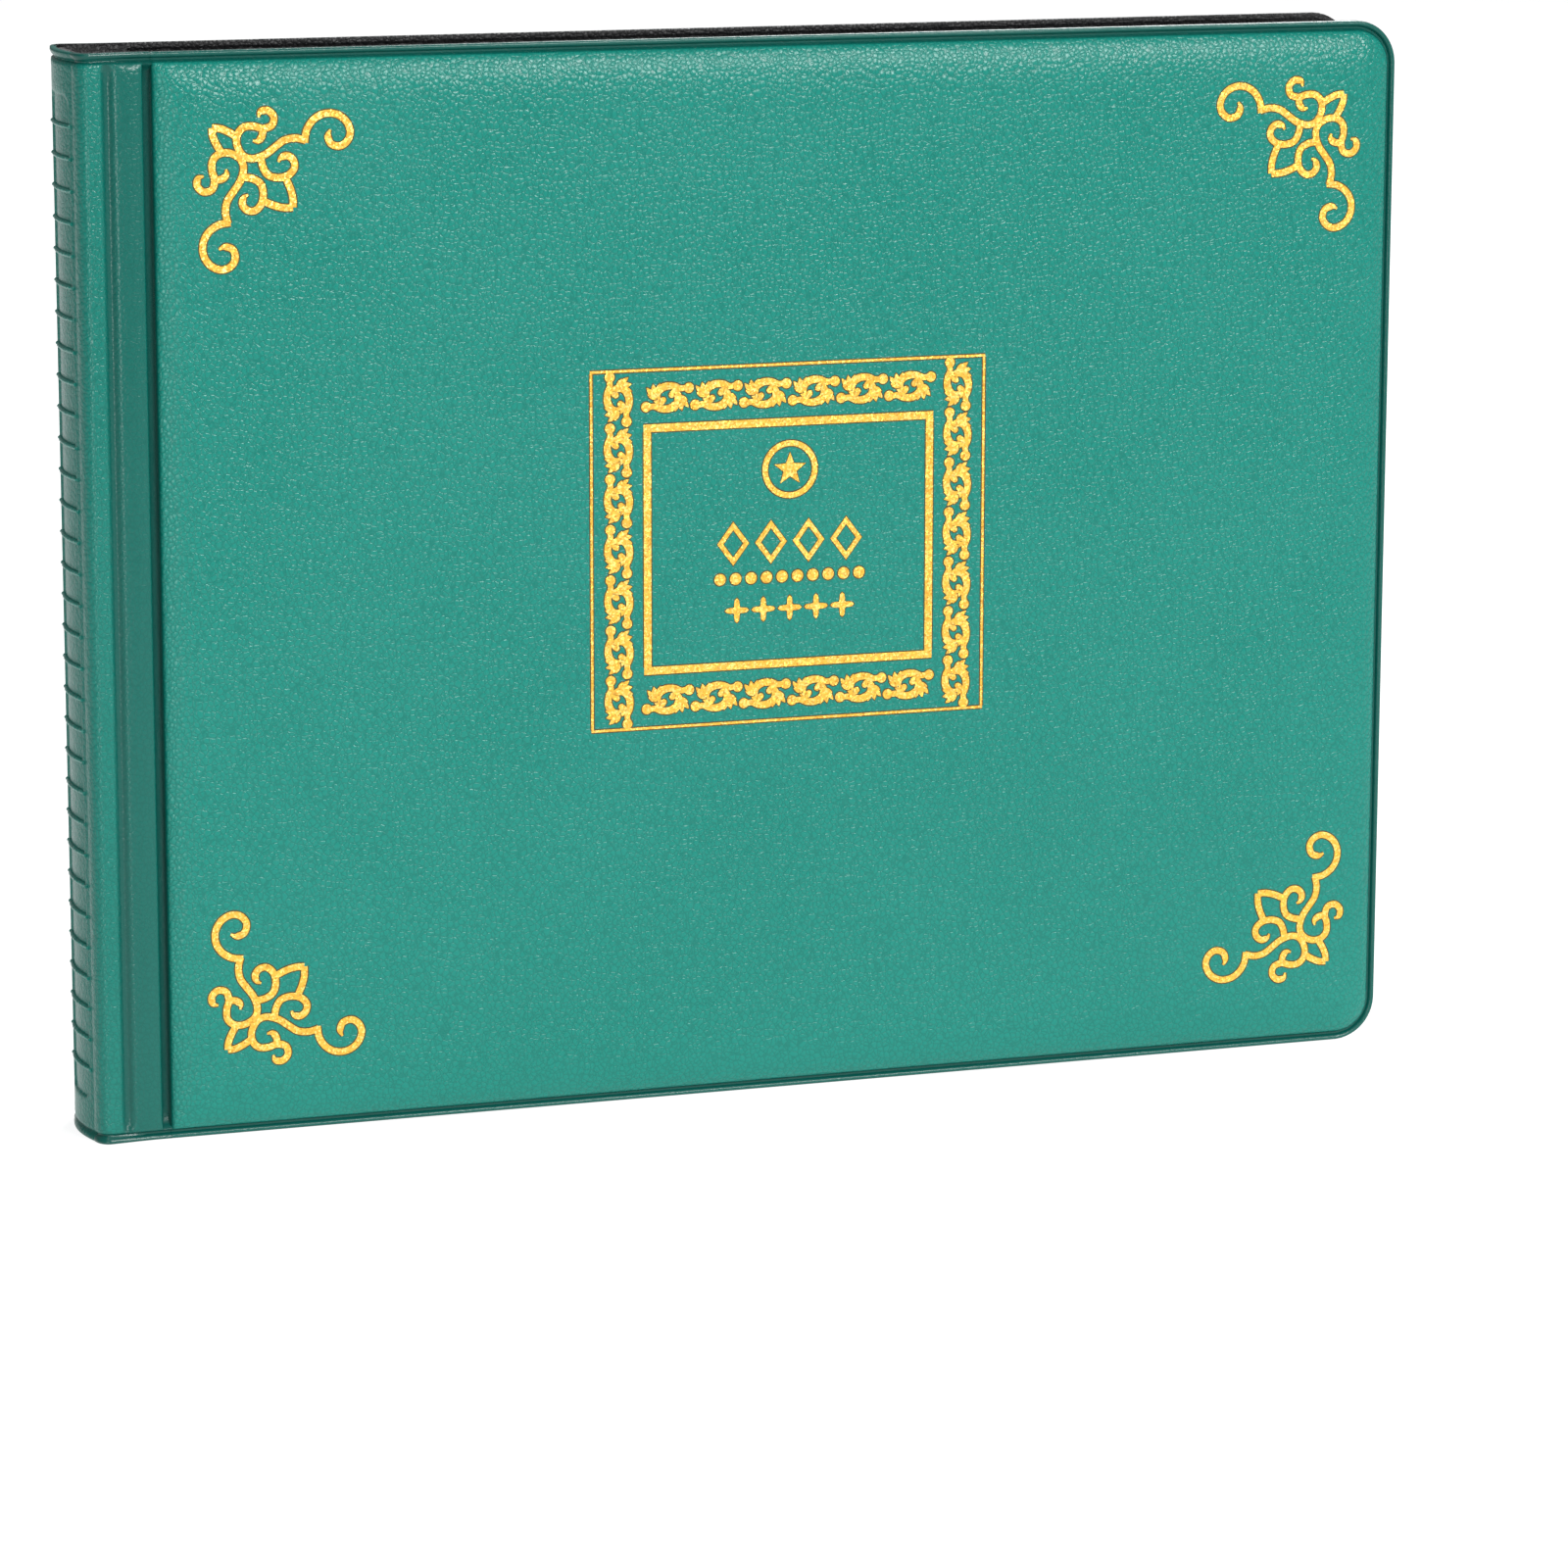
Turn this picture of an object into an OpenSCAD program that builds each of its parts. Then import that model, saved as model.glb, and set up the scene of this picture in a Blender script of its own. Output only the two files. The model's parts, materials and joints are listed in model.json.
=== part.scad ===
// A coin album that stands closed on its lower edge.
// X runs from the spine to the fore edge, Y through the block of leaves, Z up.
// The front cover is on the -Y side. The origin is under the middle of the closed album.

/* [Covers] */
// Height of the covers and the spine
cover_h = 180; // [176:1:220]
// Width of the closed album, from the spine's face to the fore edge
closed_w = 232; // [228:1:250]
// Distance between the outer planes of the two covers
block_t = 21; // [21:0.5:30]
// Radius of the two fore-edge corners of a cover
corner_r = 7.5; // [4:0.5:12]
// Height of the padding above a cover's outer plane
pad_rise = 1.4; // [0.8:0.1:3]
// Width of the padding's sloping shoulder
pad_shoulder = 6; // [3:0.5:9]
// Width of the flat welded rim around the padding
rim_w = 2; // [1:0.5:4]

/* [Spine and hinges] */
// Distance from the spine's face to the hinge groove
gutter_w = 12; // [10:0.5:16]
// Width of the narrow groove beside each cover's padding
groove_w = 1.5; // [1:0.1:3]
// Number of raised ribs across the spine
rib_count = 31; // [9:1:41]
// Distance between two ribs
rib_pitch = 5.2; // [2:0.1:5.2]

/* [Leaves] */
// Width of a leaf, from its hinge to the fore edge
leaf_w = 217; // [217:1:218]
// Height of a leaf
leaf_h = 167; // [167:1:170]
// Distance between two neighbouring leaves in the closed album
leaf_pitch = 1.05; // [1.05:0.01:1.1]
// Thickness of a leaf's black backing sheet
backing_t = 0.35; // [0.3:0.05:0.35]
// Distance between the columns of small pockets
small_pitch = 35.5; // [34:0.1:35.5]
// Distance between the columns of large pockets
large_pitch = 52.2; // [50:0.1:52.2]

/* [Coins] */
// Diameter of a small coin
small_coin_d = 28.7; // [20:0.1:30]
// Thickness of a small coin
small_coin_t = 1.5; // [1:0.1:1.5]
// Diameter of a large coin
large_coin_d = 42.3; // [32:0.1:44]
// Thickness of a large coin
large_coin_t = 2.0; // [1.5:0.1:2]

/* [Hidden] */
$fn = 48;
side_names = ["front", "back"];
leaves_each = 5;

// Covers: depths count inwards from a cover's outer plane.
cover_t = 2.8;
skin_t = 0.5;
lining_t = 0.5;
board_t = 1.6;
board_in = 2.3;
rim_in = [0.8, 1.4, 1.9];
spine_x = -closed_w / 2;
panel_x = spine_x + gutter_w + groove_w;
panel_w = closed_w - gutter_w - groove_w;
inset = rim_w + skin_t;
shoulder_steps = 6;

// Hinges between the covers and the spine.
hinge_r = cover_t / 2;
gap = 0.3;
valley_x = 5.4;
valley_w = 2.2;
valley_in = 0.7;
groove_in = 1.9;

// Spine: heights count from its outer face towards the leaves.
spine_half = block_t / 2 - cover_t - gap;
spine_skin_t = 0.9;
spine_board_t = 1.6;
spine_t = spine_skin_t + spine_board_t + lining_t;
rib_t = 0.3;
rib_h = 1.1;
recess_t = 0.4;
recess_margin = [1.6, 6.7];

// Leaves: the pivots step inwards and towards the middle by one leaf pitch each.
first_leaf_in = cover_t + 0.35;
first_pivot_x = spine_x + spine_t + 1.2;
leaf_hub_r = 0.35;
leaf_z = (cover_h - leaf_h) / 2;
film_t = 0.25;
wall_t = 0.2;
coin_play = 0.1;
flap_t = 0.15;
weld_t = 0.1;
weld_w = 2.4;

// Each kind of leaf: columns, rows, column pitch, pocket height, first weld, flap depth,
// coin diameter and coin thickness.
small_leaf = [6, 4, small_pitch, 37.4, 2.7, 13.2, small_coin_d, small_coin_t];
large_leaf = [4, 3, large_pitch, 50, 3, 14.8, large_coin_d, large_coin_t];
mouth_drop = 3.5;
flap_taper = 3;
flap_r = 2.5;
flap_steps = 4;

// Gold print on the front cover.
print_t = 0.12;
title_x = [86.4, 156];
title_z = [64.8, 125.4];
border_w = [0.5, 1.3];
border_gap = 9.2;
ornament_inset = 7.5;

function kind(side) = side == 0 ? small_leaf : large_leaf;
function leaf_in(k) = first_leaf_in + (k - 1) * leaf_pitch;
function pivot_x(k) = first_pivot_x + (k - 1) * leaf_pitch;
function pivot_in(k) = leaf_in(k) + backing_t / 2;
function row_pitch(l) = (leaf_h - weld_w - l[3]) / (l[1] - 1);
function row_z(l, r) = leaf_z + leaf_h - weld_w / 2 - r * row_pitch(l);
function leaf_name(side, k, piece) = str(side_names[side], "_leaf_", k, "_", piece);

// Places a cover's own frame, where Y counts inwards from the outer plane, on one side.
module on_side(side) {
    mirror([0, side, 0]) translate([0, -block_t / 2, 0]) children();
}

// A plate in the XZ plane with rounded fore-edge corners, from depth y0 to y1.
module cover_plate(x0, inset, r, y0, y1) {
    w = closed_w / 2 - inset - x0;
    h = cover_h - 2 * inset;
    translate([x0, y1, inset]) rotate([90, 0, 0]) linear_extrude(y1 - y0) union() {
        square([w - r, h]);
        translate([w - r - 1, r]) square([r + 1, h - 2 * r]);
        for (z = [r, h - r]) translate([w - r, z]) circle(r);
    }
}

// Outline of a padded plate across one direction: flat on top, rounded shoulders.
function shoulder(w, rise, base) = concat(
    [[0, base]],
    [for (i = [0:shoulder_steps]) let (a = 90 * i / shoulder_steps)
        [pad_shoulder * (1 - cos(a)), -rise * sin(a)]],
    [for (i = [shoulder_steps:-1:0]) let (a = 90 * i / shoulder_steps)
        [w - pad_shoulder * (1 - cos(a)), -rise * sin(a)]],
    [[w, base]]);

// A pillow-shaped solid over the padded panel, shrunk by edge and lowered by lower.
module pillow(edge, lower, base) {
    w = panel_w - rim_w - 2 * edge;
    h = cover_h - 2 * rim_w - 2 * edge;
    intersection() {
        cover_plate(panel_x + edge, rim_w + edge, corner_r - rim_w, -pad_rise - 1, base);
        translate([panel_x + edge, lower, 0]) linear_extrude(cover_h)
            polygon(shoulder(w, pad_rise, base - lower));
        translate([-closed_w, lower, rim_w + edge]) rotate([90, 0, 90]) linear_extrude(2 * closed_w)
            polygon([for (p = shoulder(h, pad_rise, base - lower)) [p[1], p[0]]]);
    }
}

// Padded vinyl skin of a cover with its flat welded rim.
module cover_skin(side) {
    color("#2f8e7b") on_side(side) union() {
        difference() {
            pillow(0, 0, rim_in[1]);
            pillow(skin_t, skin_t, rim_in[1] + 1);
        }
        difference() {
            cover_plate(panel_x, 0, corner_r, rim_in[0], rim_in[1]);
            cover_plate(panel_x + skin_t, inset, corner_r - inset, 0, rim_in[1] + 1);
        }
    }
}

// Foam between the skin and the board.
module cover_foam(side) {
    color("#d8d2c0") on_side(side) pillow(skin_t, skin_t, board_in - board_t);
}

// Stiff board of a cover.
module cover_board(side) {
    color("#8b7f6b") on_side(side)
        cover_plate(panel_x + skin_t, inset, corner_r - inset, board_in - board_t, board_in);
}

// Black lining, welded to the skin along the rim.
module cover_lining(side) {
    color("#2b2b2c") on_side(side) union() {
        cover_plate(panel_x, rim_w, corner_r - rim_w, board_in, cover_t);
        difference() {
            cover_plate(panel_x, 0, corner_r, rim_in[1], rim_in[2]);
            cover_plate(panel_x + skin_t, inset, corner_r - inset, 0, cover_t);
        }
        difference() {
            cover_plate(panel_x, rim_w, corner_r - rim_w, rim_in[2], board_in);
            cover_plate(panel_x + skin_t, inset, corner_r - inset, 0, cover_t);
        }
    }
}

// Vinyl strip between the spine and the cover, with its pivot edge, valley and groove.
module gutter(side) {
    color("#2a7f6e") on_side(side) difference() {
        union() {
            translate([spine_x + hinge_r, hinge_r, 0]) cylinder(h = cover_h, r = hinge_r);
            translate([spine_x + hinge_r, 0, 0])
                cube([gutter_w + groove_w - hinge_r, cover_t - lining_t, cover_h]);
        }
        translate([spine_x + valley_x, valley_in - valley_w, -1])
            cylinder(h = cover_h + 2, r = valley_w);
        translate([spine_x + gutter_w, -1, -1]) cube([groove_w + 1, groove_in + 1, cover_h + 2]);
        translate([spine_x + 2 * hinge_r, cover_t - lining_t, -1])
            cube([gutter_w, lining_t + 1, cover_h + 2]);
    }
}

// Black lining behind the gutter.
module gutter_lining(side) {
    color("#2b2b2c") on_side(side) translate([spine_x + 2 * hinge_r, cover_t - lining_t, 0])
        cube([gutter_w + groove_w - 2 * hinge_r, lining_t, cover_h]);
}

// A plate along the spine's width with rounded corners, from height x0 to x1.
module spine_plate(margin, r, x0, x1) {
    w = spine_half - margin[0] - r;
    h = cover_h / 2 - margin[1] - r;
    translate([spine_x + x0, 0, cover_h / 2]) rotate([90, 0, 90]) linear_extrude(x1 - x0) union() {
        square([2 * w, 2 * (h + r)], center = true);
        square([2 * (w + r), 2 * h], center = true);
        for (y = [-w, w]) for (z = [-h, h]) translate([y, z]) circle(r);
    }
}

// Vinyl skin of the spine: a sunk panel with rounded corners, crossed by ribs.
module spine_skin() {
    color("#2f8e7b") union() {
        difference() {
            spine_plate([0, 0], 0.5, 0, spine_skin_t);
            spine_plate(recess_margin, 2.5, -1, recess_t);
        }
        for (i = [0:rib_count - 1])
            translate([spine_x + recess_t - rib_t, recess_margin[0] - spine_half + 1,
                cover_h / 2 + (i - (rib_count - 1) / 2) * rib_pitch - rib_h / 2])
                cube([rib_t + 0.1, 2 * (spine_half - recess_margin[0] - 1), rib_h]);
    }
}

// Stiff board inside the spine.
module spine_board() {
    color("#8b7f6b")
        spine_plate([0.6, rim_w], 0.5, spine_skin_t, spine_skin_t + spine_board_t);
}

// Black lining of the spine, wrapped around the board.
module spine_lining() {
    color("#2b2b2c") difference() {
        spine_plate([0, 0], 0.5, spine_skin_t, spine_t);
        spine_plate([0.6, rim_w], 0.5, 0, spine_skin_t + spine_board_t);
    }
}

// Stepped strip that holds one side's leaves, each step one leaf pitch higher.
module binding(side) {
    color("#39393b") on_side(side) union() {
        for (k = [1:leaves_each]) {
            y0 = leaf_in(k) - (k == 1 ? 0.02 : 0.2);
            top = pivot_x(k) - leaf_hub_r - gap;
            translate([spine_x + spine_t, y0, leaf_z])
                cube([top - spine_x - spine_t, block_t / 2 - y0, leaf_h]);
        }
    }
}

// Black backing sheet of a leaf, with a round edge on its pivot.
module leaf_backing(side, k) {
    r = 1.5;
    color("#232324") on_side(side) union() {
        translate([pivot_x(k), pivot_in(k), leaf_z]) cylinder(h = leaf_h, r = leaf_hub_r);
        translate([pivot_x(k), leaf_in(k) + backing_t, leaf_z]) rotate([90, 0, 0])
            linear_extrude(backing_t) union() {
                square([leaf_w - r, leaf_h]);
                translate([leaf_w - 2 * r, r]) square([2 * r, leaf_h - 2 * r]);
                for (z = [r, leaf_h - r]) translate([leaf_w - r, z]) circle(r);
            }
    }
}

// Thickness of what a leaf's pockets hold: only the middle leaves are filled.
function load_t(side, k) = k == leaves_each ? kind(side)[7] + coin_play : 0;
function film_top(side, k) = k == leaves_each ? load_t(side, k) + wall_t : film_t;

// A flat piece of a leaf, outlined in the leaf's XZ plane, from height y0 to y1 above the backing.
module on_leaf(side, k, y0, y1) {
    on_side(side) translate([pivot_x(k), leaf_in(k) + backing_t + y1, 0]) rotate([90, 0, 0])
        linear_extrude(y1 - y0) children();
}

// The upper weld of every row of pockets on a leaf.
module row_welds(l) {
    for (r = [0:l[1] - 1])
        translate([l[4] - weld_w / 2, row_z(l, r) - weld_w / 2])
            square([l[0] * l[2] + weld_w, weld_w]);
}

// Clear pocket film of a leaf: one welded strip for each row, open along its upper edge.
module leaf_pockets(side, k) {
    l = kind(side);
    load = load_t(side, k);
    top = film_top(side, k);
    film_h = l[3] - mouth_drop + weld_w / 2;
    color("#c9d6da", 0.35) union() {
        difference() {
            on_leaf(side, k, 0, top) for (r = [0:l[1] - 1])
                translate([l[4] - weld_w / 2, row_z(l, r) - l[3] - weld_w / 2])
                    square([l[0] * l[2] + weld_w, film_h]);
            if (load > 0) on_leaf(side, k, -1, load) for (r = [0:l[1] - 1]) for (c = [0:l[0] - 1])
                translate([l[4] + c * l[2] + weld_w / 2, row_z(l, r) - l[3] + weld_w / 2])
                    square([l[2] - weld_w, l[3]]);
        }
        on_leaf(side, k, 0, film_t + weld_t) row_welds(l);
        on_leaf(side, k, 0, top + weld_t) for (r = [0:l[1] - 1]) for (c = [0:l[0]])
            translate([l[4] + c * l[2] - weld_w / 2, row_z(l, r) - l[3] - weld_w / 2])
                square([weld_w, film_h]);
    }
}

// Outline of one flap that hangs from its weld: sloping sides and round lower corners.
function flap_points(w, depth) = let (x = w / 2 - flap_taper - flap_r) concat(
    [[w / 2, 0]],
    [for (i = [0:flap_steps]) let (a = 90 * i / flap_steps)
        [x + flap_r * cos(a), flap_r - depth - flap_r * sin(a)]],
    [for (i = [flap_steps:-1:0]) let (a = 90 * i / flap_steps)
        [-x - flap_r * cos(a), flap_r - depth - flap_r * sin(a)]],
    [[-w / 2, 0]]);

// Clear flaps of a leaf, one over the mouth of each pocket.
module leaf_flaps(side, k) {
    l = kind(side);
    low = film_top(side, k) + weld_t;
    color("#dfe8ea", 0.3) union() {
        on_leaf(side, k, low, low + flap_t) {
            row_welds(l);
            for (r = [0:l[1] - 1]) for (c = [0:l[0] - 1])
                translate([l[4] + (c + 0.5) * l[2], row_z(l, r) - weld_w / 2])
                    polygon(flap_points(l[2] - weld_w, l[5]));
        }
        if (k == leaves_each) on_leaf(side, k, film_t + weld_t, low) row_welds(l);
    }
}

// One coin with a raised rim and a plain star, lying in the leaf's plane.
module coin(d, t) {
    relief = 0.2;
    rotate([-90, 0, 0]) union() {
        cylinder(h = t - relief, d = d);
        difference() {
            cylinder(h = t, d = d);
            translate([0, 0, -1]) cylinder(h = t + 2, d = d - 2.4);
        }
        linear_extrude(t - relief / 2) polygon([for (i = [0:9])
            (i % 2 == 0 ? 0.3 : 0.14) * d * [sin(36 * i), cos(36 * i)]]);
    }
}

// One row of coins in a middle leaf, each in the middle of its pocket.
module coin_row(side, r) {
    l = kind(side);
    k = leaves_each;
    color("#c89a3c") on_side(side) for (c = [0:l[0] - 1])
        translate([pivot_x(k) + l[4] + (c + 0.5) * l[2], leaf_in(k) + backing_t,
            row_z(l, r) - l[3] / 2]) coin(l[6], l[7]);
}

// A flat printed figure on the front cover's padding, outlined in the XZ plane.
module gold_print() {
    color("#d0a83c") translate([0, -block_t / 2 - pad_rise, 0]) rotate([90, 0, 0])
        linear_extrude(print_t) children();
}

// A rectangular line of width t between corner points a and b.
module frame_line(a, b, t) {
    difference() {
        translate(a) square(b - a);
        translate(a + [t, t]) square(b - a - [2 * t, 2 * t]);
    }
}

// An upright diamond, a share of its full size.
module diamond(share) {
    polygon(share * [[0, 3.7], [2.8, 0], [0, -3.7], [-2.8, 0]]);
}

// A ring of outer radius r and width t.
module ring(r, t) {
    difference() {
        circle(r);
        circle(r - t);
    }
}

// Title block: two frames, a scrolled border, a medallion and rows of plain marks.
module front_title_print() {
    a = [spine_x + title_x[0], title_z[0]];
    b = [spine_x + title_x[1], title_z[1]];
    g = [border_gap, border_gap];
    mid = (a + b) / 2;
    gold_print() {
        frame_line(a, b, border_w[0]);
        frame_line(a + g, b - g, border_w[1]);
        for (i = [0:6]) for (z = [a[1] + border_gap / 2, b[1] - border_gap / 2])
            translate([mid[0] + (i - 3) * 8.6, z]) ring(2.6, 0.7);
        for (i = [0:4]) for (x = [a[0] + border_gap / 2, b[0] - border_gap / 2])
            translate([x, mid[1] + (i - 2) * 8.6]) ring(2.6, 0.7);
        translate([mid[0], mid[1] + 12.5]) ring(4.9, 0.95);
        translate([mid[0], mid[1] + 12.5]) polygon([for (i = [0:9])
            (i % 2 == 0 ? 2.9 : 1.2) * [sin(36 * i), cos(36 * i)]]);
        for (i = [0:3]) translate([mid[0] + (i - 1.5) * 6.7, mid[1] + 0.3]) difference() {
            diamond(1);
            diamond(0.64);
        }
        for (i = [0:9]) translate([mid[0] + (i - 4.5) * 2.75, mid[1] - 5.7]) circle(1);
        for (i = [0:4]) translate([mid[0] + (i - 2) * 4.5, mid[1] - 11.1]) polygon([for (k = [0:7])
            (k % 2 == 0 ? 2.3 : 0.9) * [sin(45 * k), cos(45 * k)]]);
    }
}

// Corner ornaments: a fan of leaves and three scrolls in each corner of the padding.
module front_corner_print() {
    cx = (panel_x + closed_w / 2 - rim_w) / 2;
    cz = cover_h / 2;
    w = (closed_w / 2 - rim_w - panel_x) / 2 - ornament_inset;
    h = cz - rim_w - ornament_inset;
    gold_print() for (sx = [-1, 1]) for (sz = [-1, 1])
        translate([cx + sx * w, cz + sz * h]) scale([-sx, -sz]) corner_figure();
}

// One ornament, growing from its corner at the origin along +X and +Y.
module corner_figure() {
    for (a = [15, 30, 45, 60, 75]) rotate(a) translate([9, 0]) scale([1, 0.35]) circle(4);
    for (m = [0, 1]) mirror([m, -m]) {
        translate([5, 4]) ring(3.2, 0.8);
        translate([15, 3]) ring(3.4, 0.8);
        translate([22, 3.5]) ring(2.4, 0.7);
    }
    translate([14.5, 14.5]) ring(2.6, 0.8);
}

spine_skin();
spine_board();
spine_lining();
for (s = [0, 1]) {
    binding(s);
    gutter(s);
    gutter_lining(s);
    cover_skin(s);
    cover_foam(s);
    cover_board(s);
    cover_lining(s);
    for (k = [1:leaves_each]) {
        leaf_backing(s, k);
        leaf_pockets(s, k);
        leaf_flaps(s, k);
    }
}
front_title_print();
front_corner_print();
for (r = [1:small_leaf[1]]) coin_row(0, r - 1);
for (r = [1:large_leaf[1]]) coin_row(1, r - 1);
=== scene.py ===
# Coin album with padded vinyl covers, a ribbed spine and clear pocket leaves.
import json
import math

import bmesh
import bpy
from mathutils import Matrix, Vector

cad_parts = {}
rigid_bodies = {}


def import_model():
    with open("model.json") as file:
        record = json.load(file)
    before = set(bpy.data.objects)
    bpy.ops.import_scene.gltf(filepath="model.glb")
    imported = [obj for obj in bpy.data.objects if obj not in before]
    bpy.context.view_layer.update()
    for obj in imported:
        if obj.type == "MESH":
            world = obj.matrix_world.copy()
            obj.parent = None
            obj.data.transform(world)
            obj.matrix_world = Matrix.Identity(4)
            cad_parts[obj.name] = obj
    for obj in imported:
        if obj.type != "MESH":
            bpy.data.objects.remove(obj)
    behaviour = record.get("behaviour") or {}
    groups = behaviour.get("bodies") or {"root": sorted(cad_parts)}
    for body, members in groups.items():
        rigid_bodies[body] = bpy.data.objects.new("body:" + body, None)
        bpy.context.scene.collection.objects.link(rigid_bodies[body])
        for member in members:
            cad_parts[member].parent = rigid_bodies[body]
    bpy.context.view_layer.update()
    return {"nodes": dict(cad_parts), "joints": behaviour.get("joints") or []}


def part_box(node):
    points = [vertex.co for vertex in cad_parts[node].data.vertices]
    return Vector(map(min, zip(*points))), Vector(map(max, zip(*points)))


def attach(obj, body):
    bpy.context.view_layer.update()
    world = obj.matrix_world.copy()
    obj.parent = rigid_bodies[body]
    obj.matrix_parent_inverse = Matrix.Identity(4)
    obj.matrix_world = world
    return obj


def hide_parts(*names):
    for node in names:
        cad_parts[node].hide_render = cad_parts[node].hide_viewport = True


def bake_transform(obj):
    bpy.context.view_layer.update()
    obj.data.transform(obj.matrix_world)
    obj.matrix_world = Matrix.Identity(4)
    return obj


mm = 0.001
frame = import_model()
scene = bpy.context.scene
joints = {j["name"]: Vector(j["pos_m"]) for j in frame["joints"]}
print("frame loaded:", len(frame["nodes"]), "nodes")

# places every piece is built from, read from the frame
gutterLow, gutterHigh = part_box("front_gutter")
skinLow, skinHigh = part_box("front_skin")
spineX = gutterLow.x  # outer face of the spine
panelX = skinLow.x  # hinge side of the padded panel
foreX = skinHigh.x
coverPlane = -gutterLow.y  # outer plane of both covers, measured from the middle
albumHeight = skinHigh.z
coverDepth = gutterHigh.y - gutterLow.y
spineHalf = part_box("spine_skin")[1].y
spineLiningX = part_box("spine_lining")[1].x
leafNumbers = range(1, 6)  # outermost leaf first

cameraSetup = {
    "azimuth": -19.0,
    "distance": 1001.0,
    "height": 260.5,
    "aside": 8.0,
    "pitch": 11.79,
    "roll": 0.12,
    "lens": 136.9,
}


def addCamera(c):
    data = bpy.data.cameras.new("albumCamera")
    data.lens = c["lens"]
    data.sensor_width = 36
    data.clip_start = 0.02
    data.clip_end = 30
    camera = bpy.data.objects.new("albumCamera", data)
    scene.collection.objects.link(camera)
    turn = math.radians(c["azimuth"])
    ahead = Vector((-math.sin(turn), math.cos(turn), 0))
    aside = Vector((math.cos(turn), math.sin(turn), 0))
    place = Vector((0, 0, c["height"])) - ahead * c["distance"] + aside * c["aside"]
    camera.location = place * mm
    camera.rotation_euler = (
        Matrix.Rotation(turn, 3, "Z")
        @ Matrix.Rotation(math.radians(90 - c["pitch"]), 3, "X")
        @ Matrix.Rotation(math.radians(c["roll"]), 3, "Z")
    ).to_euler()
    scene.camera = camera


addCamera(cameraSetup)

lightSetup = {
    "worldColor": (0.96, 0.98, 1.0),
    "worldStrength": 0.26,
    "floorColor": (0.2, 0.2, 0.2),
    "floorGlow": 0.88,
    "floorFront": (0.12, 0.12, 0.12),
    "floorFade": (-0.62, -0.27),
    "floorReach": 9,
    "lamps": {
        # name: (place, aim, size, watts), metres
        "keyLamp": ((-0.75, -1.1, 1.85), (0, 0, 0.1), 0.5, 5),
        "topLamp": ((0.42, -1.0, 1.2), (0, 0, 0.12), 0.9, 3),
        "sheenLamp": ((0.55, -1.5, 0.88), (0, 0, 0.15), 0.56, 25),
        "glintLamp": ((-0.70, -1.15, 0.16), (-0.05, 0, 0.1), 0.26, 4),
        "fillLamp": ((1.5, -1.0, 0.7), (0, 0, 0.08), 1.2, 2),
        "rearLamp": ((0.9, 1.2, 1.5), (0, 0, 0.08), 0.8, 42),
    },
}


def addLights(c):
    world = bpy.data.worlds.new("paleStudio")
    scene.world = world
    world.use_nodes = True
    background = world.node_tree.nodes["Background"]
    background.inputs["Color"].default_value = (*c["worldColor"], 1)
    background.inputs["Strength"].default_value = c["worldStrength"]
    for name, (place, aim, size, watts) in c["lamps"].items():
        data = bpy.data.lights.new(name, "AREA")
        data.size = size
        data.energy = watts
        lamp = bpy.data.objects.new(name, data)
        lamp.location = place
        lamp.rotation_euler = (Vector(aim) - Vector(place)).to_track_quat("-Z", "Y").to_euler()
        scene.collection.objects.link(lamp)
    scene.view_settings.view_transform = "Standard"


addLights(lightSetup)


class Wire:
    # a node socket that takes part in Python maths
    def __init__(self, graph, socket):
        self.graph = graph
        self.socket = socket

    def maths(self, operation, *values):
        return self.graph.add("ShaderNodeMath", values, operation=operation)

    def __add__(self, other):
        return self.maths("ADD", self, other)

    def __radd__(self, other):
        return self.maths("ADD", self, other)

    def __sub__(self, other):
        return self.maths("SUBTRACT", self, other)

    def __rsub__(self, other):
        return self.maths("SUBTRACT", other, self)

    def __mul__(self, other):
        return self.maths("MULTIPLY", self, other)


class Graph:
    # node tree of a finish or of a geometry group, filled through one method
    def __init__(self, tree):
        self.tree = tree

    def add(self, kind, values=(), out=0, **settings):
        node = self.tree.nodes.new(kind)
        for key, value in settings.items():
            setattr(node, key, value)
        pairs = values.items() if isinstance(values, dict) else enumerate(values)
        for key, value in pairs:
            target = node.inputs[key]
            if isinstance(value, Wire):
                self.tree.links.new(value.socket, target)
            elif target.type == "RGBA" and len(value) == 3:
                target.default_value = (*value, 1)
            else:
                target.default_value = value
        return Wire(self, node.outputs[out]) if node.outputs else node

    def vector(self, x, y, z):
        return self.add("ShaderNodeCombineXYZ", (x, y, z))

    def ramp(self, value, low, high):
        return self.add("ShaderNodeMapRange", (value, low, high), interpolation_type="SMOOTHSTEP")


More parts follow.
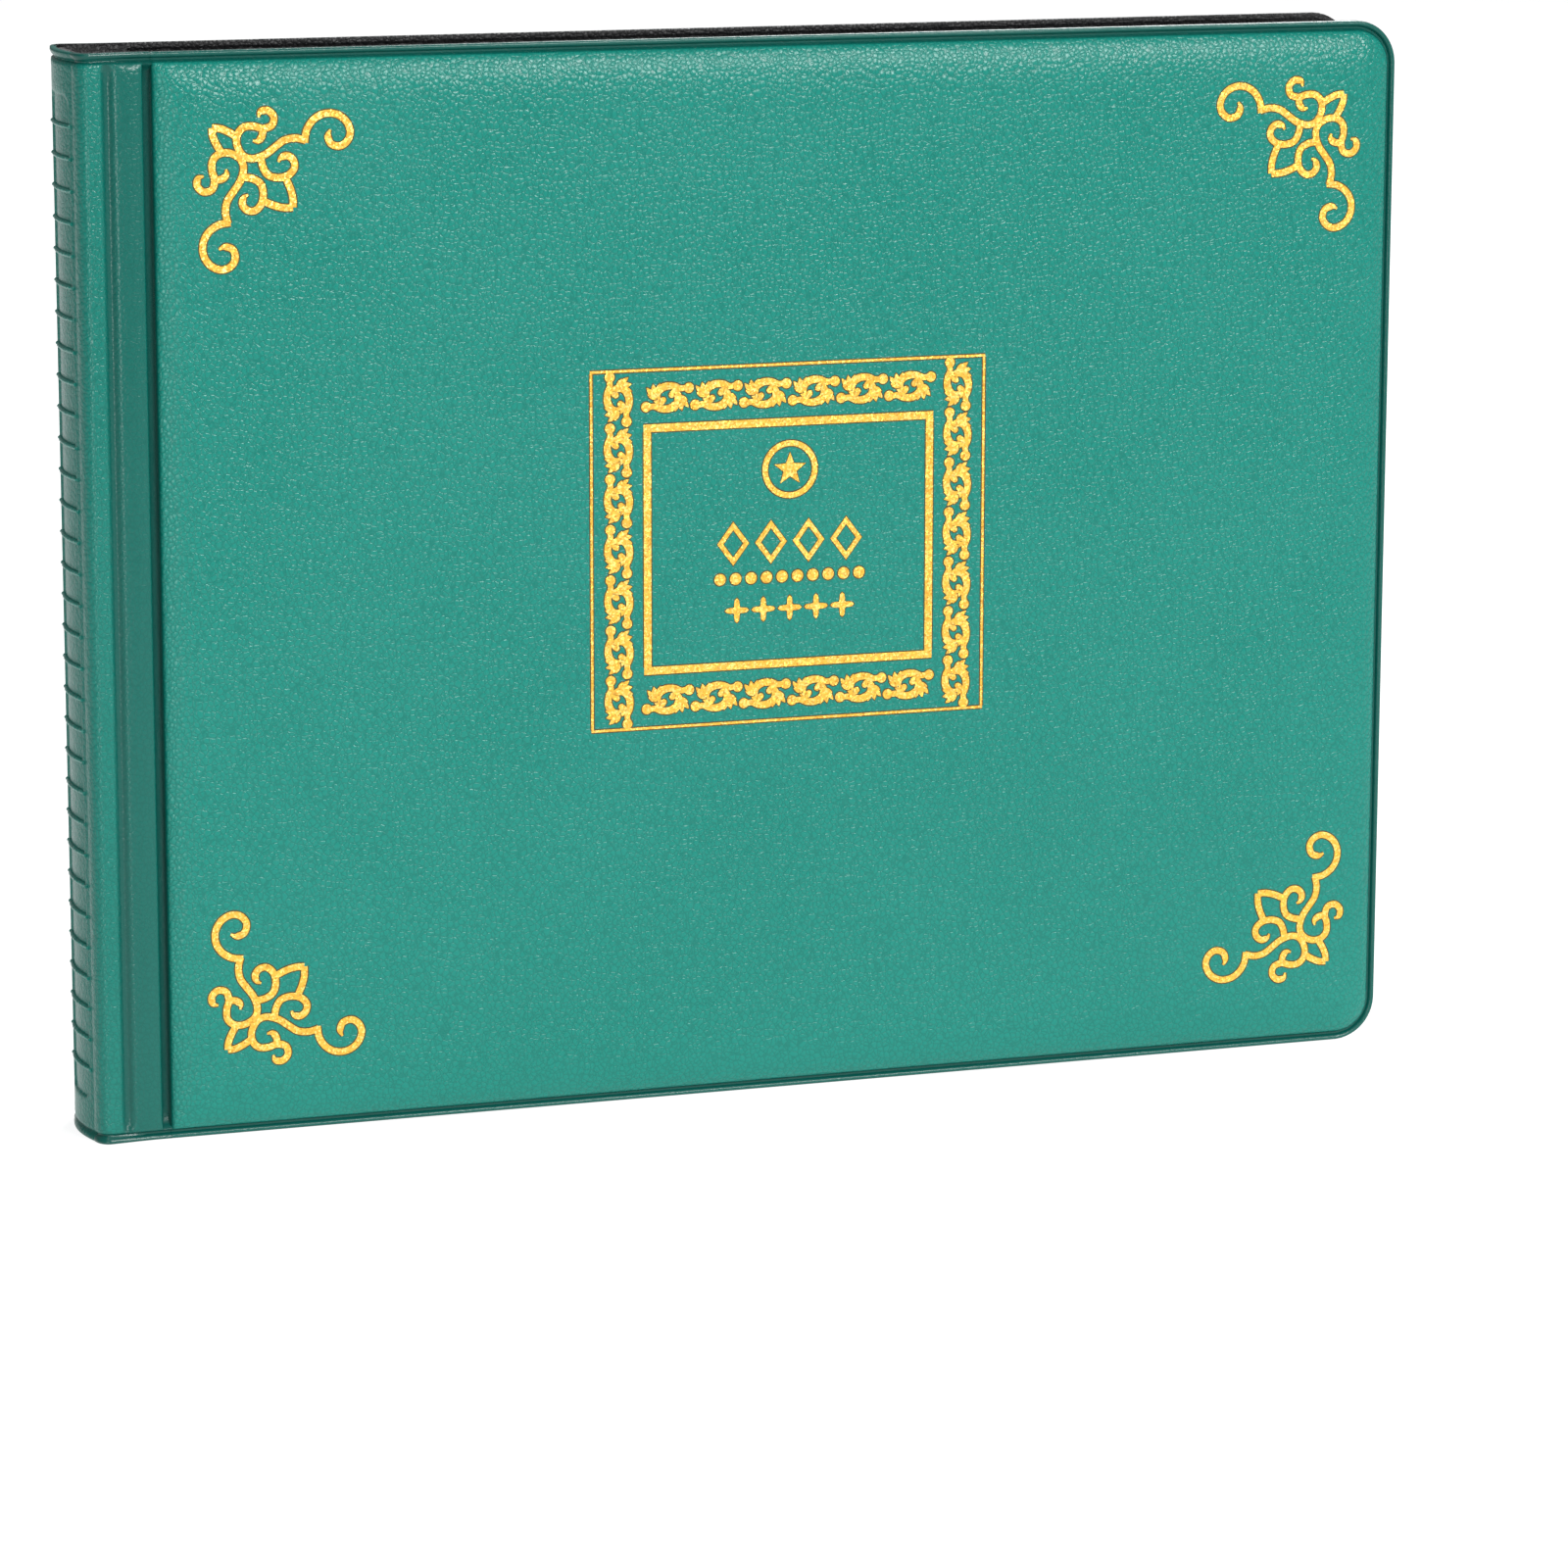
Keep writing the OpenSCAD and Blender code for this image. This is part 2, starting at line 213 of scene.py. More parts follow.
class Finish(Graph):
    # material with a node tree of its own
    def __init__(self, name):
        self.material = bpy.data.materials.new(name)
        self.material.use_nodes = True
        super().__init__(self.material.node_tree)
        self.tree.nodes.clear()

    def place(self, byRest=True):
        if byRest:  # the place of each point before anything bends
            return self.add("ShaderNodeAttribute", out=1, attribute_name="restPlace")
        return self.add("ShaderNodeTexCoord", out=3)

    def mark(self, name):
        # value kept on each point of the mesh
        return self.add("ShaderNodeAttribute", out=2, attribute_name=name)

    def noise(self, place, size, detail=2.0, roughness=0.5, out=0):
        values = {"Vector": place, "Scale": 1 / size, "Detail": detail, "Roughness": roughness}
        return self.add("ShaderNodeTexNoise", values, out)

    def cells(self, place, size, feature, out=0, **more):
        values = {"Vector": place, "Scale": 1 / size, "Randomness": 1.0, **more}
        return self.add("ShaderNodeTexVoronoi", values, out, feature=feature)

    def mix(self, factor, a, b):
        values = {0: factor, 6: a, 7: b}
        return self.add("ShaderNodeMix", values, out=2, data_type="RGBA", clamp_factor=True)

    def vectors(self, operation, *values):
        return self.add("ShaderNodeVectorMath", values, operation=operation)

    def bump(self, height, depth):
        return self.add("ShaderNodeBump", {"Strength": 1.0, "Distance": depth, "Height": height})

    def surface(self, color, roughness, specular=0.5, **values):
        values = {"Base Color": color, "Roughness": roughness, "Specular IOR Level": specular, **values}
        shader = self.add("ShaderNodeBsdfPrincipled", values)
        self.add("ShaderNodeOutputMaterial", {"Surface": shader})
        return self.material


vinylPattern = {
    "wander": 2.2 * mm,  # how fast the grain's cells drift from a plain pattern, and how far
    "wanderReach": 0.9 * mm,
    "blur": 0.35,
    "gapWidth": 0.16,
    "gapShade": 0.42,
    "fine": 0.22 * mm,
    "crease": 1.8 * mm,
    "creaseStretch": (0.55, 1.0, 0.8),
    "cloud": 34 * mm,
    "cloudShade": 0.3,
    "heights": {"pebble": 0.75, "fine": 0.1, "crease": 0.22, "gap": 0.2},
    "pressedFlat": 0.8,
    "roughness": {"fine": 0.1, "cloud": 0.05},
}
vinylLooks = {
    "green": {
        "color": (0.002, 0.188, 0.146),
        "deep": (0.001, 0.098, 0.076),
        "pale": (0.006, 0.216, 0.172),
        # colour of pressed places: partly the smoother pressed vinyl, partly painted shade
        "pressedAndShaded": (0.001, 0.070, 0.056),
        "grain": 0.85 * mm,
        "depth": 0.14 * mm,
        "roughness": 0.22,
        "specular": 0.34,
    },
    "black": {
        "color": (0.008, 0.008, 0.009),
        "deep": (0.003, 0.003, 0.003),
        "pale": (0.014, 0.014, 0.015),
        # colour of pressed places: partly the smoother pressed vinyl, partly painted shade
        "pressedAndShaded": (0.006, 0.006, 0.007),
        "grain": 0.75 * mm,
        "depth": 0.2 * mm,
        "roughness": 0.40,
        "specular": 0.32,
    },
}


def vinyl(name, look, byRest=True, c=vinylPattern):
    g = Finish(name)
    place = g.place(byRest)
    wander = g.vectors("SUBTRACT", g.noise(place, c["wander"], out=1), (0.5, 0.5, 0.5))
    shifted = g.vectors("MULTIPLY_ADD", wander, (c["wanderReach"],) * 3, place)
    pebble = g.cells(shifted, look["grain"], "SMOOTH_F1", Smoothness=c["blur"])
    gap = 1 - g.ramp(g.cells(shifted, look["grain"], "DISTANCE_TO_EDGE"), 0.0, c["gapWidth"])
    fine = g.noise(place, c["fine"], 3.0, 0.6)
    crease = g.noise(g.vectors("MULTIPLY", place, c["creaseStretch"]), c["crease"], 2.0, 0.55)
    share = c["heights"]
    height = (1 - pebble) * share["pebble"] + fine * share["fine"]
    height = height + crease * share["crease"] - gap * share["gap"]
    cloud = g.ramp(g.noise(place, c["cloud"], 3.0, 0.55), 0.3, 0.7)
    color = g.mix(cloud * c["cloudShade"], look["color"], look["pale"])
    # the gaps between the grain's pebbles are painted darker, as shade in the crevices
    color = g.mix(gap * c["gapShade"], color, look["deep"])
    if byRest:  # welded and pressed places are smoother; their darker colour is partly the pressed vinyl and partly painted shade in the grooves, the hinge valley, the strip and the spine
        pressedAndShaded = g.mark("pressedAndShaded")
        height = height * (1 - pressedAndShaded * c["pressedFlat"])
        color = g.mix(pressedAndShaded, color, look["pressedAndShaded"])
    rough = look["roughness"] + fine * c["roughness"]["fine"] + cloud * c["roughness"]["cloud"]
    return g.surface(color, rough, look["specular"], Normal=g.bump(height, look["depth"]))


foilLook = {
    "flake": 0.3 * mm,
    "gold": (0.84, 0.46, 0.055),
    "pale": (0.96, 0.70, 0.19),
    "burnt": (0.55, 0.23, 0.018),
    "tilt": 0.5,
    "roughness": 0.36,
    "metal": 0.55,
    "edge": (0.085, 0.045, 0.006),
    "edgeDark": (0.02, 0.03, 0.01),
    "edgeMottle": 0.8 * mm,
}


def goldFoil(look):
    # flakes of several golds, each leaning its own way
    g = Finish("goldFoil")
    tone = g.cells(g.place(), look["flake"], "F1", out=1)
    red, green = (g.add("ShaderNodeSeparateColor", [tone], out=i) for i in (0, 1))
    color = g.mix(g.ramp(red, 0.45, 1.0), look["gold"], look["pale"])
    color = g.mix(g.ramp(green, 0.6, 1.0) * 0.7, color, look["burnt"])
    lean = g.vectors("SUBTRACT", tone, (0.5, 0.5, 0.5))
    facing = g.add("ShaderNodeNewGeometry", out=1)
    normal = g.vectors("NORMALIZE", g.vectors("MULTIPLY_ADD", lean, (look["tilt"],) * 3, facing))
    return g.surface(color, look["roughness"], Metallic=look["metal"], Normal=normal)


def foilEdge(look):
    g = Finish("foilEdge")
    shade = g.noise(g.place(), look["edgeMottle"])
    return g.surface(g.mix(shade * 0.5, look["edge"], look["edgeDark"]), 0.5, Metallic=0.3)


coinLook = {
    "gold": (0.68, 0.27, 0.028),
    "paleGold": (0.70, 0.44, 0.13),
    # colour the field is painted towards, as shade round the relief
    "field": (0.12, 0.035, 0.002),
    "worn": (0.45, 0.22, 0.04),
    "wear": 3.0 * mm,
    "fine": 0.3 * mm,
    "depth": 0.03 * mm,
    "metal": 0.8,
}


def coinGold(look):
    g = Finish("coinGold")
    color = g.mix(g.mark("tone"), look["gold"], look["paleGold"])
    worn = g.noise(g.place(), look["wear"], 4.0, 0.6)
    fine = g.noise(g.place(), look["fine"], 2.0)
    # the field round the raised design is painted darker as shade, so the relief shows; raised places keep
    # the plain gold
    color = g.mix(1 - g.mark("relief"), color, g.mix(0.62, color, look["field"]))
    color = g.mix(g.ramp(worn, 0.45, 0.8) * 0.35, color, look["worn"])
    normal = g.bump(fine + worn * 0.8, look["depth"])
    return g.surface(color, 0.3 + worn * 0.16, Metallic=look["metal"], Normal=normal)


def clearFilm(name, alpha, roughness, color=(0.5, 0.52, 0.53)):
    g = Finish(name)
    ripple = g.noise(g.place(), 9 * mm, 2.0)
    normal = g.bump(ripple, 0.25 * mm)
    return g.surface(color, roughness, Alpha=alpha, Normal=normal)


sheetLook = {
    "black": (0.004, 0.004, 0.005),
    "grey": (0.009, 0.009, 0.010),
    "fibre": 0.35 * mm,
    "cloud": 12 * mm,
    "depth": 0.04 * mm,
    "specular": 0.22,
}


def backingSheet(look):
    g = Finish("backingSheet")
    fibre = g.noise(g.place(False), look["fibre"], 3.0, 0.6)
    cloud = g.noise(g.place(False), look["cloud"], 2.0)
    color = g.mix(cloud, look["black"], look["grey"])
    normal = g.bump(fibre, look["depth"])
    return g.surface(color, 0.5 + fibre * 0.15, look["specular"], Normal=normal)


boardLook = {
    "dark": (0.26, 0.22, 0.17),
    "pale": (0.42, 0.37, 0.29),
    "fleckColor": (0.12, 0.10, 0.08),
    "fibre": 1.2 * mm,
    "fleck": 0.5 * mm,
    "depth": 0.08 * mm,
}


def greyBoard(look):
    g = Finish("greyBoard")
    place = g.place(False)
    fibre = g.noise(g.vectors("MULTIPLY", place, (1.0, 1.0, 4.0)), look["fibre"], 4.0, 0.65)
    fleck = g.ramp(g.noise(place, look["fleck"], 1.0), 0.62, 0.7)
    color = g.mix(fibre, look["dark"], look["pale"])
    color = g.mix(fleck * 0.5, color, look["fleckColor"])
    return g.surface(color, 0.9, Normal=g.bump(fibre, look["depth"]))


def paleFloor(look):
    # glowing floor, white under and behind the album and dim well in front of it; its glow is painted light
    # that lights the album and is reflected in its panels
    g = Finish("paleFloor")
    place = g.place(False)
    cloud = g.noise(place, 0.4, 2.0)
    color = g.mix(cloud * 0.2, look["floorColor"], (0.5, 0.5, 0.5))
    depth = g.add("ShaderNodeSeparateXYZ", [place], out=1)
    glow = g.mix(g.ramp(depth, *look["floorFade"]), look["floorFront"], (1.0, 1.0, 1.0))
    emission = {"Emission Color": glow, "Emission Strength": look["floorGlow"]}
    return g.surface(color, 0.75, specular=0.2, **emission)


greenVinyl = vinyl("greenVinyl", vinylLooks["green"])
spineVinyl = vinyl("spineVinyl", {**vinylLooks["green"], "specular": 0.14})
blackVinyl = vinyl("blackVinyl", vinylLooks["black"])
blackVinylPlain = vinyl("blackVinylPlain", vinylLooks["black"], byRest=False)
foil = goldFoil(foilLook)
foilRim = foilEdge(foilLook)
coinMetal = coinGold(coinLook)
pocketFilm = clearFilm("pocketFilm", 0.022, 0.12)
weldFilm = clearFilm("weldFilm", 0.6, 0.3, (0.42, 0.43, 0.44))
flapFilm = clearFilm("flapFilm", 0.4, 0.12, (0.040, 0.038, 0.032))
flapRim = clearFilm("flapRim", 0.35, 0.3, (0.5, 0.5, 0.5))
rootFilm = clearFilm("rootFilm", 0.75, 0.2, (0.2, 0.2, 0.21))
sheetBlack = backingSheet(sheetLook)
boardGrey = greyBoard(boardLook)
print("finishes made")


def addMesh(name, points, faces, finish, smooth=True):
    mesh = bpy.data.meshes.new(name)
    mesh.from_pydata([tuple(p) for p in points], [], faces)
    mesh.materials.append(finish)
    mesh.polygons.foreach_set("use_smooth", [smooth] * len(mesh.polygons))
    piece = bpy.data.objects.new(name, mesh)
    scene.collection.objects.link(piece)
    return piece


def faceOutwards(piece):
    work = bmesh.new()
    work.from_mesh(piece.data)
    bmesh.ops.recalc_face_normals(work, faces=work.faces)
    work.to_mesh(piece.data)
    work.free()
    piece.data.set_sharp_from_angle(angle=math.radians(52))
    return piece


def finishPiece(piece, body, slotName, *nodes):
    # restPlace remembers where each point is at rest, so a pattern stays on the piece as it bends
    mesh = piece.data
    places = mesh.attributes.new("restPlace", "FLOAT_VECTOR", "POINT")
    for point, value in zip(mesh.vertices, places.data):
        value.vector = point.co
    if nodes:
        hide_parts(*nodes)
    if body:
        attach(piece, body)
    return piece


def addPiece(name, shape, finish, body, slotName, *nodes, smooth=True):
    piece = addMesh(name, *shape, finish, smooth)
    return finishPiece(faceOutwards(piece), body, slotName, *nodes)


def setValues(mesh, name, values):
    # one number for each point of a mesh, read by the finishes
    mesh.attributes.new(name, "FLOAT", "POINT").data.foreach_set("value", values)


def gridShell(outer, inner):
    # closed thin wall between two grids of points with the same rows and columns
    rows, columns = len(outer), len(outer[0])
    points = [p for grid in (outer, inner) for row in grid for p in row]
    back = rows * columns
    faces = []
    for r in range(rows - 1):
        for c in range(columns - 1):
            a = r * columns + c
            faces.append((a, a + 1, a + columns + 1, a + columns))
            faces.append((back + a, back + a + columns, back + a + columns + 1, back + a + 1))
    edge = [(0, c) for c in range(columns)]
    edge += [(r, columns - 1) for r in range(1, rows)]
    edge += [(rows - 1, c) for c in range(columns - 2, -1, -1)]
    edge += [(r, 0) for r in range(rows - 2, 0, -1)]
    ring = [r * columns + c for r, c in edge]
    for a, b in zip(ring, ring[1:] + ring[:1]):
        faces.append((a, back + a, back + b, b))
    return points, faces


def joinParts(parts):
    # one list of points and faces from several
    points, faces = [], []
    for morePoints, moreFaces in parts:
        start = len(points)
        points += list(morePoints)
        faces += [tuple(start + i for i in face) for face in moreFaces]
    return points, faces


def ease(t):
    t = min(1.0, max(0.0, t))
    return t * t * (3 - 2 * t)


def profileAt(profile, d):
    # height of a profile of (distance, height) corners, straight between them
    if d <= profile[0][0]:
        return profile[0][1]
    for (d0, h0), (d1, h1) in zip(profile, profile[1:]):
        if d <= d1:
            return h0 + (h1 - h0) * (d - d0) / (d1 - d0)
    return profile[-1][1]


def spread(low, high, count):
    return [low + (high - low) * i / count for i in range(count + 1)]


sideSigns = {"front": -1, "back": 1}
print("helpers ready")

# heights are in mm above a cover's outer plane, distances in mm from the rim's edge
rimShape = {
    "cornerRadius": 7.5,
    "cornerZone": 12.0,
    "wallThickness": 0.2,
    "lip": [(0, -1.35), (0.03, -0.85), (0.14, -0.62), (0.38, -0.5), (0.7, -0.58), (0.9, -0.85)],
    "weld": [(1.05, -1.15), (1.35, -1.15)],
    "panel": [(1.5, -0.9), (1.6, -0.5), (1.85, -0.15), (2.3, 0.18), (3.1, 0.52), (4.1, 0.84), (5.2, 1.07),
              (6.5, 1.25), (8.0, 1.36), (10.0, 1.4)],
    "hinge": [(0, -1.9), (0.05, -0.8), (0.2, -0.35), (0.6, -0.05), (1.4, 0.34), (2.4, 0.7), (3.6, 1.0),
              (5.0, 1.23), (6.6, 1.36), (8.4, 1.4)],
    "liningFlat": [0, 3, 8, 12],
    "pressedShadeBelow": -0.6,  # the lip and weld groove are pressed smooth and painted darker as shade below this level; the next value is how far the mask fades in
    "pressedShadeFade": 0.5,
    "pressedAndShaded": 0.95,
    "lining": [(0, -1.35), (0.03, -1.7), (0.16, -1.85), (0.9, -1.88), (1.25, -1.58), (1.8, -1.6),
               (2.3, -2.2), (3.2, -2.75), (5.0, -2.98), (9.0, -2.93), (18.0, -2.8)],
}
rimProfile = rimShape["lip"] + rimShape["weld"] + rimShape["panel"]
# lip and weld across the spine and the hinge strips, from the upper or lower edge
endProfile = [(0, -0.35), (0.04, 0.0), (0.15, 0.16), (0.4, 0.2), (0.8, 0.04), (1.1, -0.2),
              (1.3, -0.5), (1.5, -0.55), (1.65, -0.3), (1.9, -0.02), (2.4, 0.04), (3.2, 0.0)]


def edgeStations(length, near, far, middle):
    # distances from 0 to length, close together at the near and far edge
    between = spread(near[-1], length - far[-1], middle)[1:-1]
    return near + between + [length - d for d in reversed(far)]


def roundCorner(a, b, radius, zone):
    # moves a point at distances a and b from two edges onto a rounded outline
    if a >= zone or b >= zone:
        return a, b
    d = min(a, b)
    r = max(radius - d, 0.9)
    straight = zone - d - r
    arc = math.pi / 2 * r
    share = 0.5 * (zone - a) / (zone - d) if a >= b else 1 - 0.5 * (zone - b) / (zone - d)
    run = share * (2 * straight + arc)
    if run < straight:
        return zone - run, d
    if run > straight + arc:
        return d, d + r + run - straight - arc
    turn = (run - straight) / r
    return d + r - r * math.sin(turn), d + r - r * math.cos(turn)


def coverSurface(side, heightAt, hingeNear, drop):
    # grid of points over one cover: rows run from the lower to the upper edge
    width = (foreX - panelX) / mm
    height = albumHeight / mm
    edge = [d for d, _ in rimProfile] + [12, 14]
    across = edgeStations(width, hingeNear, edge, 14)
    upwards = edgeStations(height, edge, edge, 12)
    grid = []
    for v in upwards:
        row = []
        for u in across:
            a = width - u
            b = min(v, height - v)
            d = min(a, b)
            level = heightAt(u, d) - drop
            a, b = roundCorner(a, b, rimShape["cornerRadius"], rimShape["cornerZone"])
            x = panelX + (width - a) * mm
            z = b * mm if v < height / 2 else albumHeight - b * mm
            y = sideSigns[side] * (coverPlane + level * mm)
            row.append(Vector((x, y, z)))
        grid.append(row)
    return grid


def paddedHeight(u, d):
    rim = profileAt(rimProfile, d)
    if d < rimShape["panel"][0][0]:
        return rim
    return min(rim, profileAt(rimShape["hinge"], u))


def liningHeight(u, d):
    return profileAt(rimShape["lining"], d)


def addCover(side, c):
    hingeNear = [d for d, _ in c["hinge"]] + [10, 13]
    thick, body = c["wallThickness"], side + "_cover"
    outer, inner = (coverSurface(side, paddedHeight, hingeNear, drop) for drop in (0, thick))
    skin = addPiece(side + "PanelSkin", gridShell(outer, inner), greenVinyl, body, "green_vinyl",
                    side + "_skin", side + "_foam")
    # the low lip and weld groove get the pressed mask; their darker colour is painted shade
    levels = [(abs(p.y) - coverPlane) / mm for row in outer for p in row]
    shares = [1 - ease((level - c["pressedShadeBelow"]) / c["pressedShadeFade"]) for level in levels]
    setValues(skin.data, "pressedAndShaded", [c["pressedAndShaded"] * share for share in shares] * 2)
    walls = [coverSurface(side, liningHeight, c["liningFlat"], drop) for drop in (0, -thick)]
    addPiece(side + "PanelLining", gridShell(*walls), blackVinyl, body, "black_vinyl", side + "_lining")


for side in sideSigns:
    addCover(side, rimShape)
print("covers made")

# a strip runs from the spine's edge round the corner to the hinge groove
# its sizes are in mm from the spine's face and from the cover's outer plane
stripShape = {
    "spineEdge": coverPlane / mm - spineHalf / mm,
    "spineDip": 1.1,
    "cornerReach": 3.3,
    "cornerSteps": 9,
    "valley": (4.7, 7.7, 0.8),
    "crown": 0.22,
    "grooveWall": 12.0,
    "grooveDepth": 1.9,
    "thickness": 0.35,
    "bodyStart": (1.7, 2.9),
    "weldEnd": 1.5,
    "weldFade": 0.7,
    "bend": 6.0,
}


def stripPath(c):
    # points (x, depth) of the strip's outer face, with and without its valley and groove
    dip, edge, reach = c["spineDip"], c["spineEdge"], c["cornerReach"]
    corner = []
    for i in range(c["cornerSteps"] + 1):
        a = math.radians(90 * i / c["cornerSteps"])
        corner.append((dip + (reach - dip) * (1 - math.cos(a)), edge * (1 - math.sin(a))))
    low, high, dip = c["valley"]
    shaped, plain = list(corner), list(corner)
    for x in spread(reach + 0.2, c["grooveWall"] - 0.5, 26):
        depth = 0.0
        if low < x < high:
            depth = dip * 0.5 * (1 - math.cos(2 * math.pi * (x - low) / (high - low)))
        elif x >= high:
            depth = -c["crown"] * math.sin(math.pi * (x - high) / (c["grooveWall"] - high))
        shaped.append((x, depth))
        plain.append((x, 0.0))
    wall, floor = c["grooveWall"], c["grooveDepth"]
    end = (panelX - spineX) / mm
    for x, depth in ((wall - 0.2, 0.08), (wall - 0.04, 0.3), (wall, 0.8), (wall + 0.06, floor - 0.2),
                     (wall + 0.25, floor), (end - 0.2, floor), (end + 0.1, floor)):
        shaped.append((x, depth))
        plain.append((x, 0.0))
    return shaped, plain


def pathNormals(path):
    normals = []
    for i in range(len(path)):
        a, b = path[max(i - 1, 0)], path[min(i + 1, len(path) - 1)]
        along = Vector((b[0] - a[0], b[1] - a[1])).normalized()
        normals.append(Vector((along.y, -along.x)))
    normals[0] = Vector((-1, 0))
    return normals


def aroundCorner(x, depth, z, sign):
    # place of a point in mm from the spine's face, the cover's outer plane and the table
    return Vector((spineX + x * mm, sign * (coverPlane - depth * mm), z * mm))


def endLevel(d, along):
    # level of the end weld: along is 0 on the spine and 1 at the cover's rim
    return profileAt(endProfile, d) * (1 - along) + min(profileAt(rimProfile, d), 0.0) * along


def stripStations():
    edge = sorted({d for d, _ in endProfile + rimProfile[:11]}) + [5, 8]
    return edgeStations(albumHeight / mm, edge, edge, 14)


def addStrip(side, c):
    shaped, plain = stripPath(c)
    normals = pathNormals(plain)
    sign, height = sideSigns[side], albumHeight / mm
    start, end = c["bodyStart"]

    def wall(lower):
        grid = []
        for v in stripStations():
            d = min(v, height - v)
            body = ease((d - start) / (end - start))
            row = []
            for (x1, d1), (x0, d0), n in zip(shaped, plain, normals):
                level = endLevel(d, ease(x0 / c["grooveWall"])) - lower
                x = x0 + (x1 - x0) * body + n.x * level
                depth = d0 + (d1 - d0) * body + n.y * level
                row.append(aroundCorner(x, depth, v, sign))
            grid.append(row)
        return grid

    strip = addPiece(side + "HingeStrip", gridShell(wall(0), wall(c["thickness"])), greenVinyl, None,
                     "green_vinyl", side + "_gutter")
    low, high, _ = c["valley"]
    # pressed amounts on the strip: the welded ends, the valley, the groove and a rise across the strip; the
    # darker colour they give is painted shade, the smoother grain comes from the pressing
    amounts = []
    for v in stripStations():
        weld = 1 - ease((min(v, height - v) - c["weldEnd"]) / c["weldFade"])
        for x, depth in shaped:
            valley = ease((x - low) / 1.0) * (1 - ease((x - high + 1.0) / 1.0))
            groove = ease((depth - 0.3) / 0.5) if x > high else 0.0
            amounts.append(max(weld, valley * 0.9, groove, 0.3 + 0.4 * ease((x - low) / 3)))
    setValues(strip.data, "pressedAndShaded", amounts * 2)
    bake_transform(strip)


stripLining = {"thickness": 0.3, "sag": -0.1, "start": 2.4, "flatFrom": 3.6, "bendEnd": 4.2, "rim": 0.85}


def addStripLining(side, c):
    # black lining behind the strip, from the spine's lining to the cover's
    sign, height = sideSigns[side], albumHeight / mm
    inner, length = coverDepth / mm, (panelX - spineX) / mm
    flat = c["flatFrom"]
    path = [(c["start"], inner + 1.5), (2.6, inner + 0.8), (3.0, inner + 0.25), (flat, inner)]
    for x in spread(c["bendEnd"], length + 0.3, 14):
        path.append((x, inner + c["sag"] * math.sin(math.pi * (x - flat) / (length - flat))))
    normals = pathNormals(path)

    def wall(lower):
        grid = []
        for v in stripStations():
            out = (1 - ease((min(v, height - v) - 0.2) / 2.4)) * c["rim"] + lower
            grid.append([aroundCorner(x + n.x * out, depth + n.y * out, v, sign)
                         for (x, depth), n in zip(path, normals)])
        return grid

    lining = addPiece(side + "StripLining", gridShell(wall(0), wall(c["thickness"])), blackVinyl, None,
                      "black_vinyl", side + "_gutter_lining")
    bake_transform(lining)


for side in sideSigns:
    addStrip(side, stripShape)
    addStripLining(side, stripLining)
print("hinge strips made")

spineShape = {
    "bulge": 1.1,  # how far the middle stands out past the edges
    "thickness": 0.5,
    "liningEnd": 0.4,
    "liningGap": 0.02,
    "panelSide": 1.3,
    "panelEnd": 6.7,
    "panelRadius": 2.6,
    "panelDepth": 0.45,
    "panelEdge": 0.5,
    "ribCount": 31,
    "ribPitch": 5.2,
    "ribWidth": 0.8,
    "ribHeight": 0.62,
    "ribOverlap": 0.55,  # how far a rib runs past the panel's side
    "ribTail": (0.84, 0.93),  # where a rib dips into the panel's wall, as shares of the spine's half
    "ribDip": 0.75,
}


def spineFace(y, z, c):
    # depth of the spine's outer face in mm at y, z in mm
    half, height = spineHalf / mm, albumHeight / mm
    d = min(z, height - z)
    depth = c["bulge"] * (y / half) ** 2 - endLevel(d, 0.0)
    r = c["panelRadius"]
    dy = abs(y) - (half - c["panelSide"] - r)
    dz = abs(z - height / 2) - (height / 2 - c["panelEnd"] - r)
    outside = math.hypot(max(dy, 0), max(dz, 0)) + min(max(dy, dz), 0) - r
    return depth + c["panelDepth"] * ease(-outside / c["panelEdge"])


def addSpine(c):
    half, height = spineHalf / mm, albumHeight / mm
    side, end = c["panelSide"], c["panelEnd"]
    near = [-half, -half + 0.5, -half + 1.0]
    across = near + spread(-half + side, half - side, 22) + [-y for y in reversed(near)]
    edge = [d for d, _ in endProfile] + [5, 6.2]
    edge += [end + i * 0.14 for i in range(1, 6)] + [end + 1.3, end + 2.0, end + 2.8]
    upwards = edgeStations(height, edge, edge, 30)
    outer = [[Vector((spineX + spineFace(y, z, c) * mm, y * mm, z * mm)) for y in across] for z in upwards]
    inner = [[p + Vector((c["thickness"] * mm, 0, 0)) for p in row] for row in outer]
    skin = addPiece("spineSkin", gridShell(outer, inner), spineVinyl, "spine", "green_vinyl",
                    "spine_skin", "spine_board")
    amounts = []
    # the whole spine gets some of the pressed mask and its welded ends more; the darker colour is painted
    # shade, the smoother grain comes from the pressing
    for z in upwards:
        weld = 1 - ease((min(z, height - z) - stripShape["weldEnd"]) / stripShape["weldFade"])
        amounts += [0.35 + 0.35 * weld] * len(across)
    setValues(skin.data, "pressedAndShaded", amounts * 2)
    # the lining follows the skin on one side and is flat towards the leaves
    rows = [row for z, row in zip(upwards, inner) if c["liningEnd"] <= z <= height - c["liningEnd"]]
    near = [[p + Vector((c["liningGap"] * mm, 0, 0)) for p in row] for row in rows]
    far = [[Vector((spineLiningX, p.y, p.z)) for p in row] for row in rows]
    addPiece("spineLining", gridShell(near, far), blackVinyl, "spine", "black_vinyl", "spine_lining")


addSpine(spineShape)
print("spine made")


